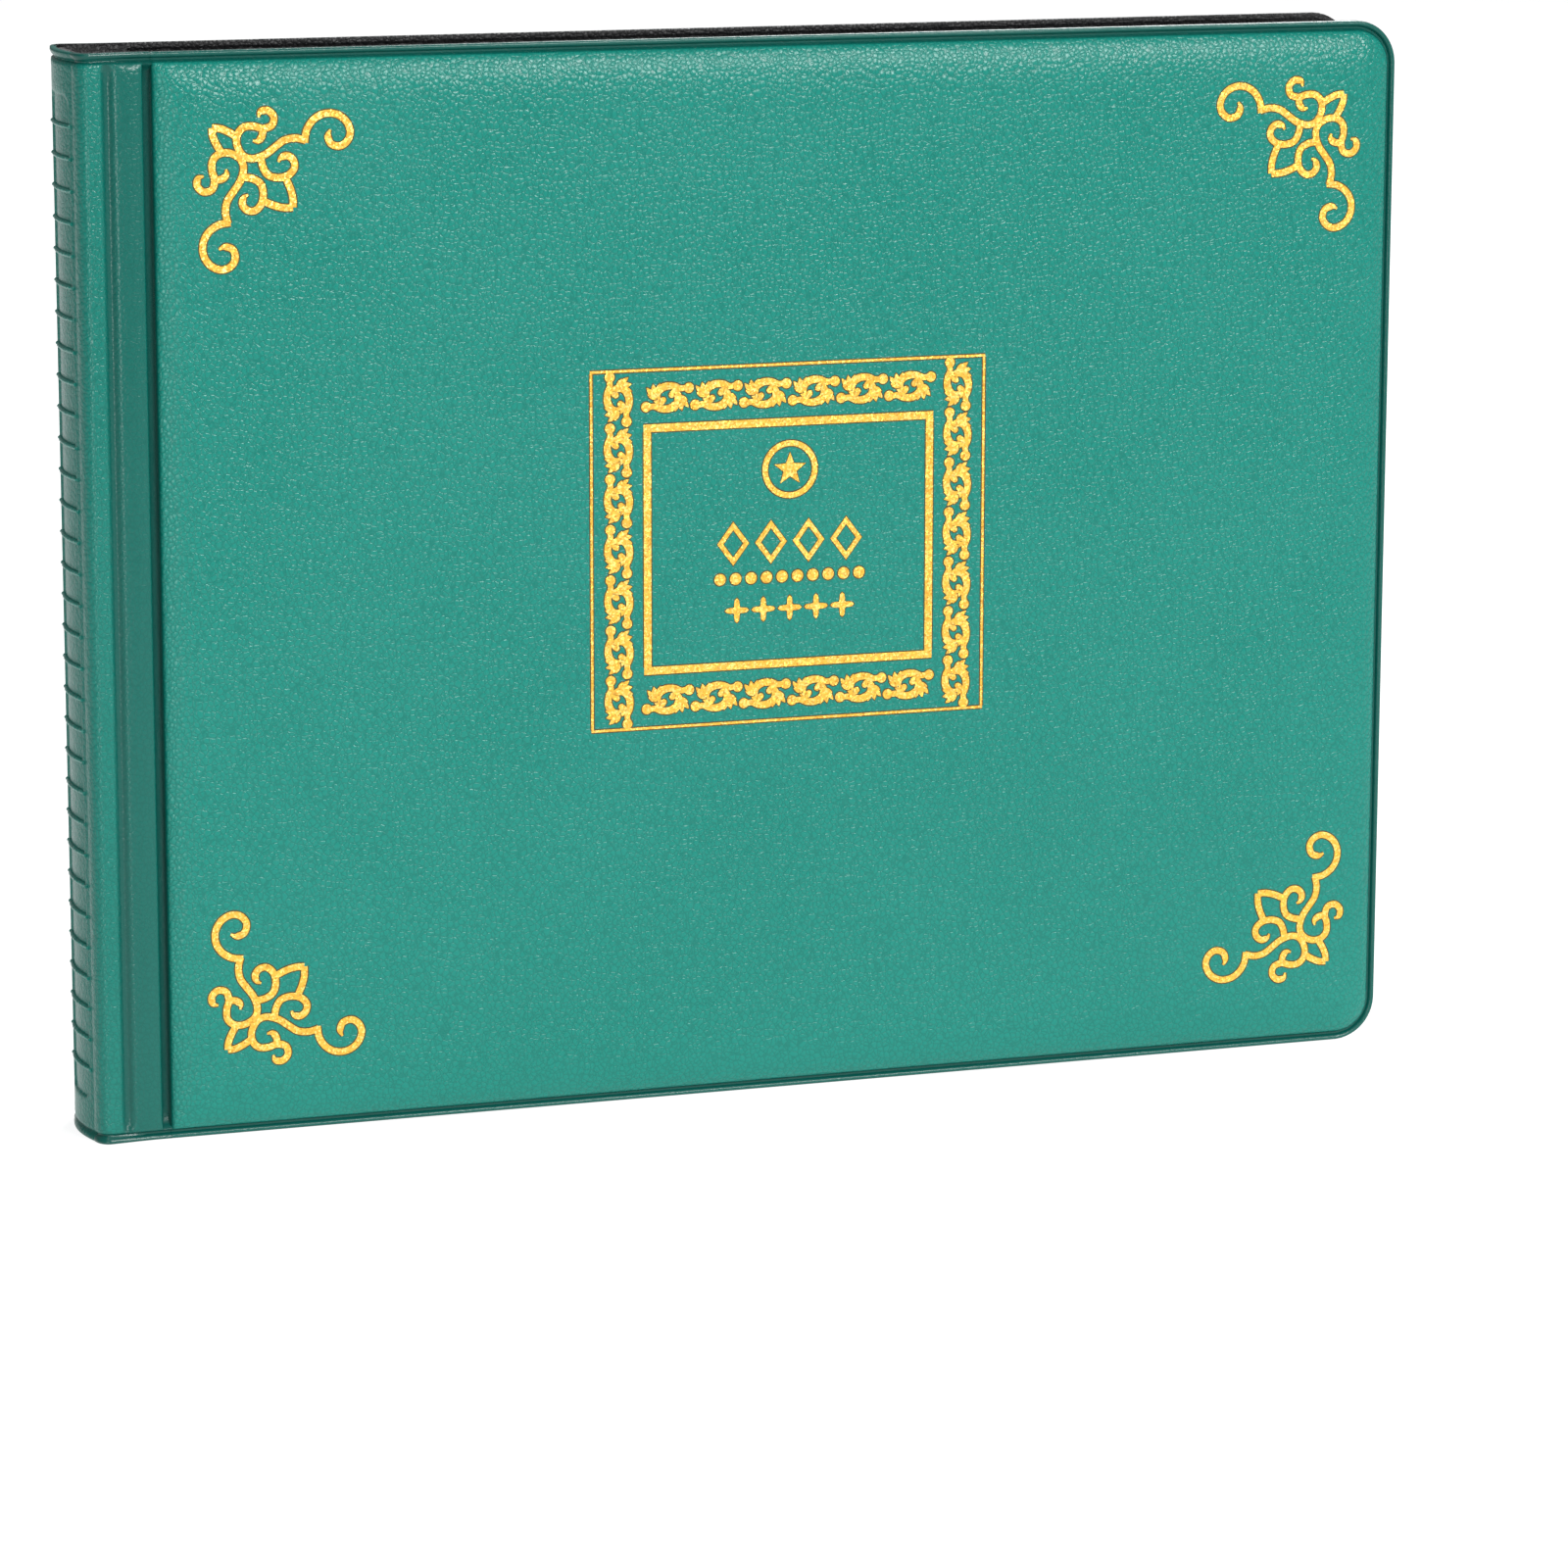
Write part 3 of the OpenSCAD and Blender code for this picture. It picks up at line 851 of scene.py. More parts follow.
class ShapeGraph(Graph):
    # geometry tree with named inputs
    def __init__(self, name, inputs):
        super().__init__(bpy.data.node_groups.new(name, "GeometryNodeTree"))
        face = self.tree.interface
        face.new_socket("Geometry", in_out="INPUT", socket_type="NodeSocketGeometry")
        face.new_socket("Geometry", in_out="OUTPUT", socket_type="NodeSocketGeometry")
        self.ids = {}
        for label, value in inputs.items():
            kind = {int: "Int", float: "Float", tuple: "Vector"}.get(type(value), "Object")
            item = face.new_socket(label, in_out="INPUT", socket_type="NodeSocket" + kind)
            if kind != "Object":
                item.default_value = value
            self.ids[label] = item.identifier
        self.inputs = inputs
        self.source = self.tree.nodes.new("NodeGroupInput")

    def given(self, label):
        return Wire(self, self.source.outputs[label])

    def join(self, *shapes):
        node = self.tree.nodes.new("GeometryNodeJoinGeometry")
        for shape in shapes:
            self.tree.links.new(shape.socket, node.inputs[0])
        return Wire(self, node.outputs[0])

    def close(self, shape, finish):
        real = self.add("GeometryNodeRealizeInstances", [shape])
        coated = self.add("GeometryNodeSetMaterial", {"Geometry": real, "Material": finish})
        end = self.tree.nodes.new("NodeGroupOutput")
        self.tree.links.new(coated.socket, end.inputs[0])

    def build(self, name, start=None):
        # runs the tree on a start mesh and returns the result as an object
        carrier = bpy.data.objects.new(name + "Carrier", start or bpy.data.meshes.new(name + "Start"))
        scene.collection.objects.link(carrier)
        modifier = carrier.modifiers.new("shape", "NODES")
        modifier.node_group = self.tree
        for label, value in self.inputs.items():
            modifier[self.ids[label]] = value
        depsgraph = bpy.context.evaluated_depsgraph_get()
        mesh = bpy.data.meshes.new_from_object(carrier.evaluated_get(depsgraph), depsgraph=depsgraph)
        carrier.modifiers.remove(modifier)
        bpy.data.objects.remove(carrier)
        mesh.name = name
        piece = bpy.data.objects.new(name, mesh)
        scene.collection.objects.link(piece)
        return piece


def copiesOf(single, name, start, finish, turned=False):
    # a copy of one object at each start point, joined into one object
    g = ShapeGraph(name, {"unit": single})
    source = g.add("GeometryNodeObjectInfo", {"Object": g.given("unit")}, out="Geometry",
                   transform_space="ORIGINAL")
    values = {"Points": g.given("Geometry"), "Instance": source}
    if turned:
        angle = g.add("GeometryNodeInputNamedAttribute", {"Name": "turn"}, data_type="FLOAT")
        values["Rotation"] = g.vector(0.0, 0.0, angle)
    g.close(g.add("GeometryNodeInstanceOnPoints", values), finish)
    return g.build(name + "Batch", start)


def startPoints(name, points, edges=()):
    mesh = bpy.data.meshes.new(name)
    mesh.from_pydata([tuple(p) for p in points], list(edges), [])
    return mesh


def addRibs(c):
    # thin raised ribs across the sunk panel of the spine
    g = ShapeGraph("spineRibs", {
        "count": c["ribCount"],
        "pitch": c["ribPitch"] * mm,
        "length": (spineHalf / mm - c["panelSide"] + c["ribOverlap"]) * 2 * mm,
        "width": c["ribWidth"] * mm,
        "height": c["ribHeight"] * mm,
        "bulge": c["bulge"] * mm,
        "start": (spineX, 0.0, albumHeight / 2 - (c["ribCount"] - 1) / 2 * c["ribPitch"] * mm),
    })
    half = g.given("length") * 0.5
    left = g.vector(0.0, half * -1, 0.0)
    right = g.vector(0.0, half, 0.0)
    line = g.add("GeometryNodeCurvePrimitiveLine", {"Start": left, "End": right})
    line = g.add("GeometryNodeResampleCurve", {"Curve": line, "Count": 25})
    where = g.add("GeometryNodeInputPosition")
    along = g.add("ShaderNodeSeparateXYZ", [where], out=1)
    reach = (along * along) * (1 / spineHalf**2)
    # a rib dips into the panel's wall at both ends
    share = along * (1 / spineHalf)
    tail = g.ramp(share.maths("ABSOLUTE", share), *c["ribTail"])
    depth = reach * g.given("bulge") + c["panelDepth"] * mm - tail * (c["panelDepth"] * c["ribDip"] * mm)
    shift = g.vector(depth, 0.0, 0.0)
    line = g.add("GeometryNodeSetPosition", {"Geometry": line, "Offset": shift})
    profile = g.add("GeometryNodeCurvePrimitiveCircle", {"Resolution": 10, "Radius": 0.5})
    size = g.vector(g.given("width"), g.given("height") * 2.0, 1.0)
    profile = g.add("GeometryNodeTransform", {"Geometry": profile, "Scale": size})
    turned = g.add("GeometryNodeSetCurveNormal", {"Curve": line, "Normal": (0.0, 0.0, 1.0)}, mode="FREE")
    rib = g.add("GeometryNodeCurveToMesh", {"Curve": turned, "Profile Curve": profile, "Fill Caps": True})
    step = g.vector(0.0, 0.0, g.given("pitch"))
    values = {"Count": g.given("count"), "Start Location": g.given("start"), "Offset": step}
    row = g.add("GeometryNodeMeshLine", values, mode="OFFSET")
    ribs = g.add("GeometryNodeInstanceOnPoints", {"Points": row, "Instance": rib})
    g.close(ribs, greenVinyl)
    piece = g.build("spineRibs")
    piece.data.polygons.foreach_set("use_smooth", [True] * len(piece.data.polygons))
    finishPiece(faceOutwards(piece), "spine", "green_vinyl")


addRibs(spineShape)
print("ribs made")

# leaves: sizes in mm, measured from a leaf's hinge and its upper weld
leafKinds = {
    "front": {
        "columns": 6, "rows": 4, "pitch": 35.5, "pocket": 37.4, "firstWeld": 2.7,
        "flap": 13.2, "coin": 28.7, "coinThick": 1.5,
    },
    "back": {
        "columns": 4, "rows": 3, "pitch": 52.2, "pocket": 50.0, "firstWeld": 3.0,
        "flap": 14.8, "coin": 42.3, "coinThick": 2.0,
    },
}
leafShape = {
    "filled": 5,
    "weldWidth": 2.4,
    "railWidth": 0.42,
    "railHeight": 0.16,
    "rungPitch": 1.75,
    "rungWidth": 0.8,
    "rungHeight": 0.1,
    "cornerRadius": 2.2,
    "mouthDrop": 3.5,
    "filmThickness": 0.06,
    "flatFilm": 0.2,
    "filmGap": 0.12,  # clearances over a coin, of the film and of the flap over that
    "coinGap": 0.22,
    "flapGap": 0.18,
    "rootGap": 0.2,
    "weldGap": 0.02,
    "coinLift": 0.03,
    "flapTaper": 3.4,
    "flapRadius": 2.6,
    "flapLift": 0.12,
    "edgeWidth": 0.16,
    "edgeLift": 0.035,
}


def rowTops(side, c):
    kind = leafKinds[side]
    low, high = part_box(side + "_leaf_1_backing")
    height = (high.z - low.z) / mm
    pitch = (height - c["weldWidth"] - kind["pocket"]) / (kind["rows"] - 1)
    return [high.z / mm - c["weldWidth"] / 2 - r * pitch for r in range(kind["rows"])]


leafPlanes = {}
for side in sideSigns:
    for number in leafNumbers:
        low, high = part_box(f"{side}_leaf_{number}_backing")
        pivot = joints[f"{side}_leaf_{number}_turn"]
        # the outer leaves are a hair narrower, so that all outer welds lie behind each other
        squeeze = 1 - (joints[f"{side}_leaf_5_turn"].x - pivot.x) / (high.x - low.x)
        face = high.y if side == "front" else low.y
        leafPlanes[side, number] = (pivot.x, squeeze, face, -sideSigns[side])


def onLeaf(side, number, u, v, w):
    # u from the leaf's hinge, v above the table and w out of the backing, all in mm
    hinge, squeeze, face, inward = leafPlanes[side, number]
    return Vector((hinge + u * squeeze * mm, face + inward * w * mm, v * mm))


def coinCentres(side, c):
    kind = leafKinds[side]
    return [[(kind["firstWeld"] + (i + 0.5) * kind["pitch"], top - kind["pocket"] / 2)
             for i in range(kind["columns"])] for top in rowTops(side, c)]


def filmLevel(kind, c, filled, du, dv):
    # height of the film at a place measured from the pocket's middle
    if not filled:
        return c["flatFilm"]
    radius = kind["coin"] / 2
    full = kind["coinThick"] + c["filmGap"]
    away = math.hypot(du, dv) - radius
    reach = min(kind["pitch"] / 2, kind["pocket"] / 2) - radius - 0.6
    return c["flatFilm"] + (full - c["flatFilm"]) * (1 - ease(away / reach))


def addFilm(side, number, c):
    kind = leafKinds[side]
    filled = number == c["filled"]
    half = c["weldWidth"] / 2
    steps = 14 if filled else 2
    parts = []
    for top in rowTops(side, c):
        bottom = top - kind["pocket"]
        middle = top - kind["pocket"] / 2
        across = [kind["firstWeld"] - half]
        for i in range(kind["columns"]):
            start = kind["firstWeld"] + i * kind["pitch"]
            across += spread(start + half * 0.6, start + kind["pitch"] - half * 0.6, steps)
        across.append(kind["firstWeld"] + kind["columns"] * kind["pitch"] + half)
        upwards = [bottom - half] + spread(bottom + half * 0.5, top - c["mouthDrop"], steps)

        def surface(lower):
            grid = []
            for v in upwards:
                row = []
                for u in across:
                    cell = (u - kind["firstWeld"]) / kind["pitch"]
                    column = min(max(int(cell), 0), kind["columns"] - 1)
                    du = u - kind["firstWeld"] - (column + 0.5) * kind["pitch"]
                    w = filmLevel(kind, c, filled, du, v - middle)
                    row.append(onLeaf(side, number, u, v, w - lower))
                grid.append(row)
            return grid

        parts.append(gridShell(surface(0), surface(c["filmThickness"])))
    leaf = f"{side}_leaf_{number}"
    addPiece(f"{side}Leaf{number}Film", joinParts(parts), pocketFilm, leaf, "clear_film", leaf + "_pockets")


def weldLines(side, c):
    # end points of every weld on a leaf, flat: x along the leaf, y up
    kind = leafKinds[side]
    left = kind["firstWeld"]
    right = left + kind["columns"] * kind["pitch"]
    tops = rowTops(side, c)
    lines = []
    for top in tops:
        for y in (top, top - kind["pocket"]):
            lines.append([(left, y), (right, y)])
    upper, lower = tops[0], tops[-1] - kind["pocket"]
    for i in range(kind["columns"] + 1):
        x = left + i * kind["pitch"]
        if i in (0, kind["columns"]):
            lines.append([(x, upper), (x, lower)])
            continue
        ends = [tops[0] - c["mouthDrop"]]
        for top in tops[1:]:
            ends += [top + 0.4, top - c["mouthDrop"]]
        ends.append(lower)
        lines += [[(x, a), (x, b)] for a, b in zip(ends[::2], ends[1::2])]
    return lines


def addWelds(side, c):
    # bright two-railed welds with rungs, made once for a side and copied to each of its leaves
    points, edges = [], []
    for a, b in weldLines(side, c):
        edges.append((len(points), len(points) + 1))
        points += [(a[0] * mm, a[1] * mm, 0), (b[0] * mm, b[1] * mm, 0)]
    g = ShapeGraph("weldLadder", {
        "pitch": c["rungPitch"] * mm,
        "width": c["weldWidth"] * mm,
        "railWidth": c["railWidth"] * mm,
        "railHeight": c["railHeight"] * mm,
        "rungWidth": c["rungWidth"] * mm,
        "rungHeight": c["rungHeight"] * mm,
    })
    lines = g.add("GeometryNodeMeshToCurve", {"Mesh": g.given("Geometry")})
    rails = []
    for hand in (-1, 1):
        profile = g.add("GeometryNodeCurvePrimitiveQuadrilateral",
                        {"Width": g.given("railWidth"), "Height": g.given("railHeight")}, mode="RECTANGLE")
        aside = (g.given("width") - g.given("railWidth")) * (0.5 * hand)
        shift = g.vector(aside, g.given("railHeight") * 0.5, 0.0)
        profile = g.add("GeometryNodeTransform", {"Geometry": profile, "Translation": shift})
        level = g.add("GeometryNodeSetCurveNormal", {"Curve": lines}, mode="Z_UP")
        values = {"Curve": level, "Profile Curve": profile, "Fill Caps": True}
        rails.append(g.add("GeometryNodeCurveToMesh", values))
    stops = g.add("GeometryNodeCurveToPoints", {"Curve": lines, "Length": g.given("pitch")}, mode="LENGTH")
    tangent = stops.socket.node.outputs["Tangent"]
    turn = g.add("FunctionNodeAlignRotationToVector", {"Vector": Wire(g, tangent)}, axis="X")
    between = g.given("width") - g.given("railWidth")
    size = g.vector(g.given("rungWidth"), between, g.given("rungHeight"))
    rung = g.add("GeometryNodeMeshCube", {"Size": size})
    lift = g.vector(0.0, 0.0, g.given("rungHeight") * 0.5)
    rung = g.add("GeometryNodeTransform", {"Geometry": rung, "Translation": lift})
    rungs = g.add("GeometryNodeInstanceOnPoints", {"Points": stops, "Instance": rung, "Rotation": turn})
    g.close(g.join(*rails, rungs), weldFilm)
    flat = g.build("weldsFlat", startPoints("weldStart", points, edges))
    for number in leafNumbers:
        piece = bpy.data.objects.new(f"{side}Leaf{number}Welds", flat.data.copy())
        scene.collection.objects.link(piece)
        base = c["flatFilm"] + c["weldGap"]
        for vertex in piece.data.vertices:
            u, v, w = vertex.co / mm
            vertex.co = onLeaf(side, number, u, v, w + base)
        finishPiece(faceOutwards(piece), f"{side}_leaf_{number}", "clear_film")
    bpy.data.objects.remove(flat)


def flapOutline(width, depth, c):
    # right half of a flap's outline, from its weld down to the middle of its lower edge
    r, straight = c["flapRadius"], depth - c["flapRadius"] - 0.6
    x = width / 2 - c["flapTaper"] - r
    points = []
    for t in spread(0, 1, 5):
        bow = 0.5 * math.sin(math.pi * t)
        points.append((width / 2 - (c["flapTaper"] - 0.4) * t - bow, -straight * t))
    for i in range(7):
        a = math.radians(90 * i / 6)
        points.append((x + r * math.cos(a), r - depth - r * math.sin(a)))
    return points


def addFlaps(side, number, c):
    kind = leafKinds[side]
    filled = number == c["filled"]
    base = (kind["coinThick"] + c["coinGap"] if filled else c["flatFilm"]) + c["flapGap"]
    root = c["flatFilm"] + c["rootGap"]
    deep = kind["flap"]
    half = c["weldWidth"] / 2
    outline = flapOutline(kind["pitch"] - 0.8, deep, c)
    rim = outline + [(-x, v) for x, v in reversed(outline)]
    flaps, beads = [], []

    def level(v):
        # the flap leaves its weld low and rises over the coin
        return root + (base - root) * ease(-v / 5.0) + c["flapLift"] * ease(-v / deep)

    def place(x, v, w):
        return onLeaf(side, number, middle + x, top - half + v, w)

    def rimLine(inset, lift):
        # the flap's rim, moved inwards at its sides and at its lower edge
        line = []
        for x, v in rim:
            inwards = math.copysign(inset, x) if v > 0.01 - deep else 0.0
            upwards = inset if v < 1 - deep else 0.0
            line.append(place(x - inwards, v + upwards, level(v) + lift))
        return line

    for top in rowTops(side, c):
        for i in range(kind["columns"]):
            middle = kind["firstWeld"] + (i + 0.5) * kind["pitch"]
            rows = [(outline[0][0], half)] + outline
            flaps.append(gridShell(*([[place(x * s, v, level(v) - lower) for s in spread(-1, 1, 8)]
                                      for x, v in rows] for lower in (0, c["filmThickness"]))))
            beads.append(gridShell(*([rimLine(inset, lift) for inset in (0.0, c["edgeWidth"])]
                                     for lift in (c["edgeLift"], 0.0))))
    leaf = f"{side}_leaf_{number}"
    addPiece(f"{side}Leaf{number}Flaps", joinParts(flaps), flapFilm, leaf, "clear_film", leaf + "_flaps")
    addPiece(f"{side}Leaf{number}FlapEdges", joinParts(beads), flapRim, leaf, "clear_film")


rootShape = {"width": 2.2, "thickness": 0.3, "depth": 1.3, "end": 0.8, "bend": (-0.6, 0.9)}


def addLeafRoot(side, number, c):
    # narrow clear strip that joins a leaf to the binding
    leaf = f"{side}_leaf_{number}"
    pivot = joints[leaf + "_turn"]
    low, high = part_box(leaf + "_backing")
    grids = []
    for offset in (c["thickness"] / 2 * mm, -c["thickness"] / 2 * mm):
        steps = spread(-c["depth"], c["width"], 8)
        heights = spread(low.z + c["end"] * mm, high.z - c["end"] * mm, 12)
        grids.append([[Vector((pivot.x + t * mm, pivot.y + offset, z)) for t in steps] for z in heights])
    root = addPiece(f"{side}Leaf{number}Root", gridShell(*grids), rootFilm, None, "clear_film")
    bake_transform(root)


for side in sideSigns:
    addWelds(side, leafShape)
    for number in leafNumbers:
        addFilm(side, number, leafShape)
        addFlaps(side, number, leafShape)
        addLeafRoot(side, number, rootShape)
print("leaves made")

# coins: relief in mm over the coin's field
coinShapes = {
    "palmCoin": {"size": 28.7, "thick": 1.5, "rim": 1.1, "rings": 34, "around": 96, "design": "sprig"},
    "starCoin": {"size": 28.7, "thick": 1.5, "rim": 1.1, "rings": 34, "around": 96, "design": "wreath"},
    "sunCoin": {"size": 42.3, "thick": 2.0, "rim": 1.5, "rings": 44, "around": 120, "design": "sunburst"},
}


beadRing = {"count": 60, "inset": 0.75, "radius": 0.48, "height": 0.2}
fieldDepth = 0.34
edgeRound = 0.22
leafHeight = 0.24


def leafBump(x, y, cx, cy, angle, length, width):
    # raised pointed leaf with a groove along its middle
    dx, dy = x - cx, y - cy
    u = dx * math.cos(angle) + dy * math.sin(angle)
    v = -dx * math.sin(angle) + dy * math.cos(angle)
    if abs(u) >= length / 2:
        return 0.0
    half = width / 2 * (1 - (2 * u / length) ** 2)
    if abs(v) >= half:
        return 0.0
    return leafHeight * (1 - (v / half) ** 2) ** 0.5 * (0.62 if abs(v) < 0.12 * width else 1.0)


def starBump(x, y, radius, points=5, waist=0.42):
    r = math.hypot(x, y)
    a = (math.atan2(x, y) * points / (2 * math.pi)) % 1.0
    a = min(a, 1 - a) * 2  # 0 on a point, 1 between points
    edge = radius * (1 - (1 - waist) * a)
    return 0.34 * max(0.0, 1 - r / edge) ** 0.6 if r < edge else 0.0


def sprigRelief(x, y, radius):
    h = 0.2 * ease(1 - abs(x - 0.4 * math.sin(y / 3)) / 0.55) if -8.2 < y < 8 else 0.0
    for i in range(6):
        base = -6.0 + 2.4 * i
        for hand in (-1, 1):
            cx = hand * (2.6 + 0.5 * math.sin(i)) + 0.4 * math.sin(base / 3)
            h = max(h, leafBump(x, y, cx, base + 1.5, math.pi / 2 - hand * 0.95, 5.6 - 0.3 * i, 2.3))
    return max(h, leafBump(x, y, 0.2, 9.0, math.pi / 2, 4.4, 2.2))


def wreathRelief(x, y, radius):
    h = starBump(x, y, radius * 0.42)
    for i in range(18):
        a = math.radians(200 + i * 320 / 17)
        for lean, ring in ((0.55, 0.66), (-0.55, 0.80)):
            cx, cy = radius * ring * math.sin(a), radius * ring * math.cos(a)
            h = max(h, leafBump(x, y, cx, cy, -a + math.copysign(lean, math.sin(a) * lean), 3.6, 1.7))
    return h


def sunburstRelief(x, y, radius):
    r = math.hypot(x, y) / radius
    a = math.atan2(x, y)
    h = 0.0
    if 0.26 < r < 0.66:
        ray = 0.5 + 0.5 * math.cos(24 * a)
        h = 0.22 * ray * ease((0.68 - r) / 0.1) * ease((r - 0.25) / 0.05)
    if r <= 0.26:
        h = 0.3 * (1 - (r / 0.27) ** 2) ** 0.5 + 0.08 * math.cos(6 * a) * r / 0.26
    for i in range(28):
        b = 2 * math.pi * i / 28
        cx, cy = radius * 0.80 * math.sin(b), radius * 0.80 * math.cos(b)
        h = max(h, leafBump(x, y, cx, cy, -b + 0.6, 4.4, 2.0))
    return h


reliefs = {"sprig": sprigRelief, "wreath": wreathRelief, "sunburst": sunburstRelief}


def coinLevel(r, a, c):
    # height of the coin's face at radius r and angle a
    inner = c["size"] / 2 - c["rim"]
    if r > inner:
        t = (r - inner) / c["rim"]
        return c["thick"] - edgeRound * ease((t - 0.7) / 0.3) - fieldDepth * (1 - ease(t / 0.22))
    field = c["thick"] - fieldDepth
    level = field + reliefs[c["design"]](r * math.sin(a), r * math.cos(a), inner)
    beads = beadRing["count"]
    bead = (a * beads / (2 * math.pi)) % 1.0 - 0.5
    away = math.hypot(bead * 2 * math.pi * r / beads, r - (inner - beadRing["inset"])) / beadRing["radius"]
    return max(level, field + (beadRing["height"] * math.sqrt(1 - away * away) if away < 1 else 0.0))


def coinMesh(name, c):
    # one coin lying in its own flat plane: x right, y up, z out of the leaf
    radius, thick, around = c["size"] / 2, c["thick"], c["around"]
    rings = [radius * (i / c["rings"]) for i in range(1, c["rings"])] + [radius - 0.02, radius, radius]
    points = [(0, 0, coinLevel(0, 0, c) * mm)]
    for number, r in enumerate(rings):
        for i in range(around):
            a = 2 * math.pi * i / around
            level = coinLevel(r, a, c) if r < radius else thick - 0.24
            if number == len(rings) - 1:
                level = 0.0
            points.append((r * math.sin(a) * mm, r * math.cos(a) * mm, level * mm))
    faces = [(0, 1 + (i + 1) % around, 1 + i) for i in range(around)]
    for start in range(1, len(points) - around, around):
        for i in range(around):
            a, b = start + i, start + (i + 1) % around
            faces.append((a, b, b + around, a + around))
    faces.append(tuple(range(len(points) - around, len(points))))
    piece = addMesh(name, points, faces, coinMetal)
    field = (thick - fieldDepth) * mm
    setValues(piece.data, "relief", [ease((p[2] - field) / (0.22 * mm)) for p in points])
    return faceOutwards(piece)


def addCoins(side, c, rowDesigns):
    centres = coinCentres(side, c)
    parts, tones, reliefValues = [], [], []
    for name, rows, tone in rowDesigns:
        single = coinMesh(name + "Single", coinShapes[name])
        places = [(u * mm, v * mm, 0) for r in rows for u, v in centres[r]]
        batch = copiesOf(single, name + "s", startPoints(name + "Places", places), coinMetal)
        points = [tuple(v.co) for v in batch.data.vertices]
        parts.append((points, [tuple(p.vertices) for p in batch.data.polygons]))
        tones += [tone] * len(points)
        reliefValues += [v.value for v in batch.data.attributes["relief"].data]
        bpy.data.objects.remove(batch)
        bpy.data.objects.remove(single)
    points, faces = joinParts(parts)
    number = c["filled"]
    points = [onLeaf(side, number, x / mm, y / mm, z / mm + c["coinLift"]) for x, y, z in points]
    kind = "small" if side == "front" else "large"
    rows = [f"{kind}_coins_row_{i + 1}" for i in range(leafKinds[side]["rows"])]
    leaf = f"{side}_leaf_{number}"
    piece = addPiece(side + "Coins", (points, faces), coinMetal, leaf, "gold_coin", *rows)
    setValues(piece.data, "tone", tones)
    setValues(piece.data, "relief", reliefValues)


addCoins("front", leafShape, [("palmCoin", (0, 2), 1.0), ("starCoin", (1, 3), 0.0)])
addCoins("back", leafShape, [("sunCoin", (0, 1, 2), 0.25)])
print("coins made")

# gold print on the front cover: places in mm from the spine and above the table
printShape = {
    "lift": 0.03,
    "thickness": 0.05,
    "rimWidth": 0.19,
    "rimDrop": 0.026,  # the dark rim lies this much lower than the gold, and is this much thinner
    "rimThinner": 0.02,
    "liftStep": 0.002,  # later bands lie a hair higher, twelve steps and then from the start again
    "liftSteps": 12,
    "strokeWidth": 1.12,
    "knots": [(29.4, 161.2, 1, -1), (215.0, 161.2, -1, -1), (29.4, 21.5, 1, 1), (215.0, 21.5, -1, 1)],
    "frameLow": (86.4, 64.8),
    "frameHigh": (156.0, 125.4),
    "thinLine": 0.42,
    "innerInset": 9.1,
    "innerLine": 1.3,
    "ringCentre": (121.3, 107.6),
    "ringRadius": 4.9,
    "ringWidth": 0.95,
    "starRadii": (2.9, 1.2),
    "diamondLine": 0.64,  # the inner outline's share of the outer one, then both edges of its rim
    "diamondRim": (1.06, 0.57),
}
titleRows = [
    {"figure": "diamond", "count": 4, "pitch": 6.7, "height": 95.4, "size": (5.6, 7.4)},
    {"figure": "dot", "count": 10, "pitch": 2.75, "height": 89.4, "size": 2.0},
    {"figure": "cross", "count": 5, "pitch": 4.7, "height": 84.0, "size": 4.2},
]
# one arm of a corner figure; the other arm is the same turned over its diagonal
armStrokes = {
    "hook": [(1.2, -8.0), (1.5, -8.9), (2.7, -9.1), (3.7, -8.1), (3.4, -6.7), (1.9, -6.2), (0.4, -6.6),
             (-1.2, -6.5), (-2.3, -5.4), (-2.4, -3.6), (-1.4, -1.9), (0.2, -1.4), (2.2, -2.0), (3.9, -3.2),
             (5.4, -4.2), (7.2, -4.5), (9.0, -4.1)],
    "scroll": [(8.8, -3.7), (9.1, -5.6), (10.1, -7.2), (11.7, -8.2), (13.7, -8.3), (15.5, -7.3),
               (16.4, -5.5), (16.0, -3.9), (14.7, -3.0), (13.2, -3.4), (12.7, -4.7), (13.1, -5.7)],
    "sprig": [(1.9, -6.1), (1.7, -4.9), (1.0, -4.2), (0.2, -4.3)],
    "outerLeaf": [(-2.1, -4.7), (-3.6, -5.7), (-5.2, -6.4), (-6.5, -6.5)],
    "curl": [(1.5, -1.5), (1.8, 0.0), (2.6, 1.3), (4.2, 1.8), (5.9, 1.5), (7.0, 0.4), (6.9, -0.9),
             (5.9, -1.7), (4.8, -1.4), (4.4, -0.7)],
    "innerLeaf": [(5.6, 2.0), (6.3, 3.6), (6.7, 5.2), (6.7, 6.7)],
}
# which ends of a stroke run out thin
tapered = {"hook": (1, 0), "scroll": (0, 1), "sprig": (0, 1), "curl": (0, 1)}


def smoothPath(points, steps=5):
    # Catmull-Rom curve through the points
    ends = [points[0]] + list(points) + [points[-1]]
    path = []
    for a, b, c, d in zip(ends, ends[1:], ends[2:], ends[3:]):
        for i in range(steps):
            t = i / steps
            path.append(tuple(0.5 * (2 * q + (r - p) * t + (2 * p - 5 * q + 4 * r - s) * t * t
                                     + (3 * q - p - 3 * r + s) * t**3) for p, q, r, s in zip(a, b, c, d)))
    return path + [tuple(points[-1])]


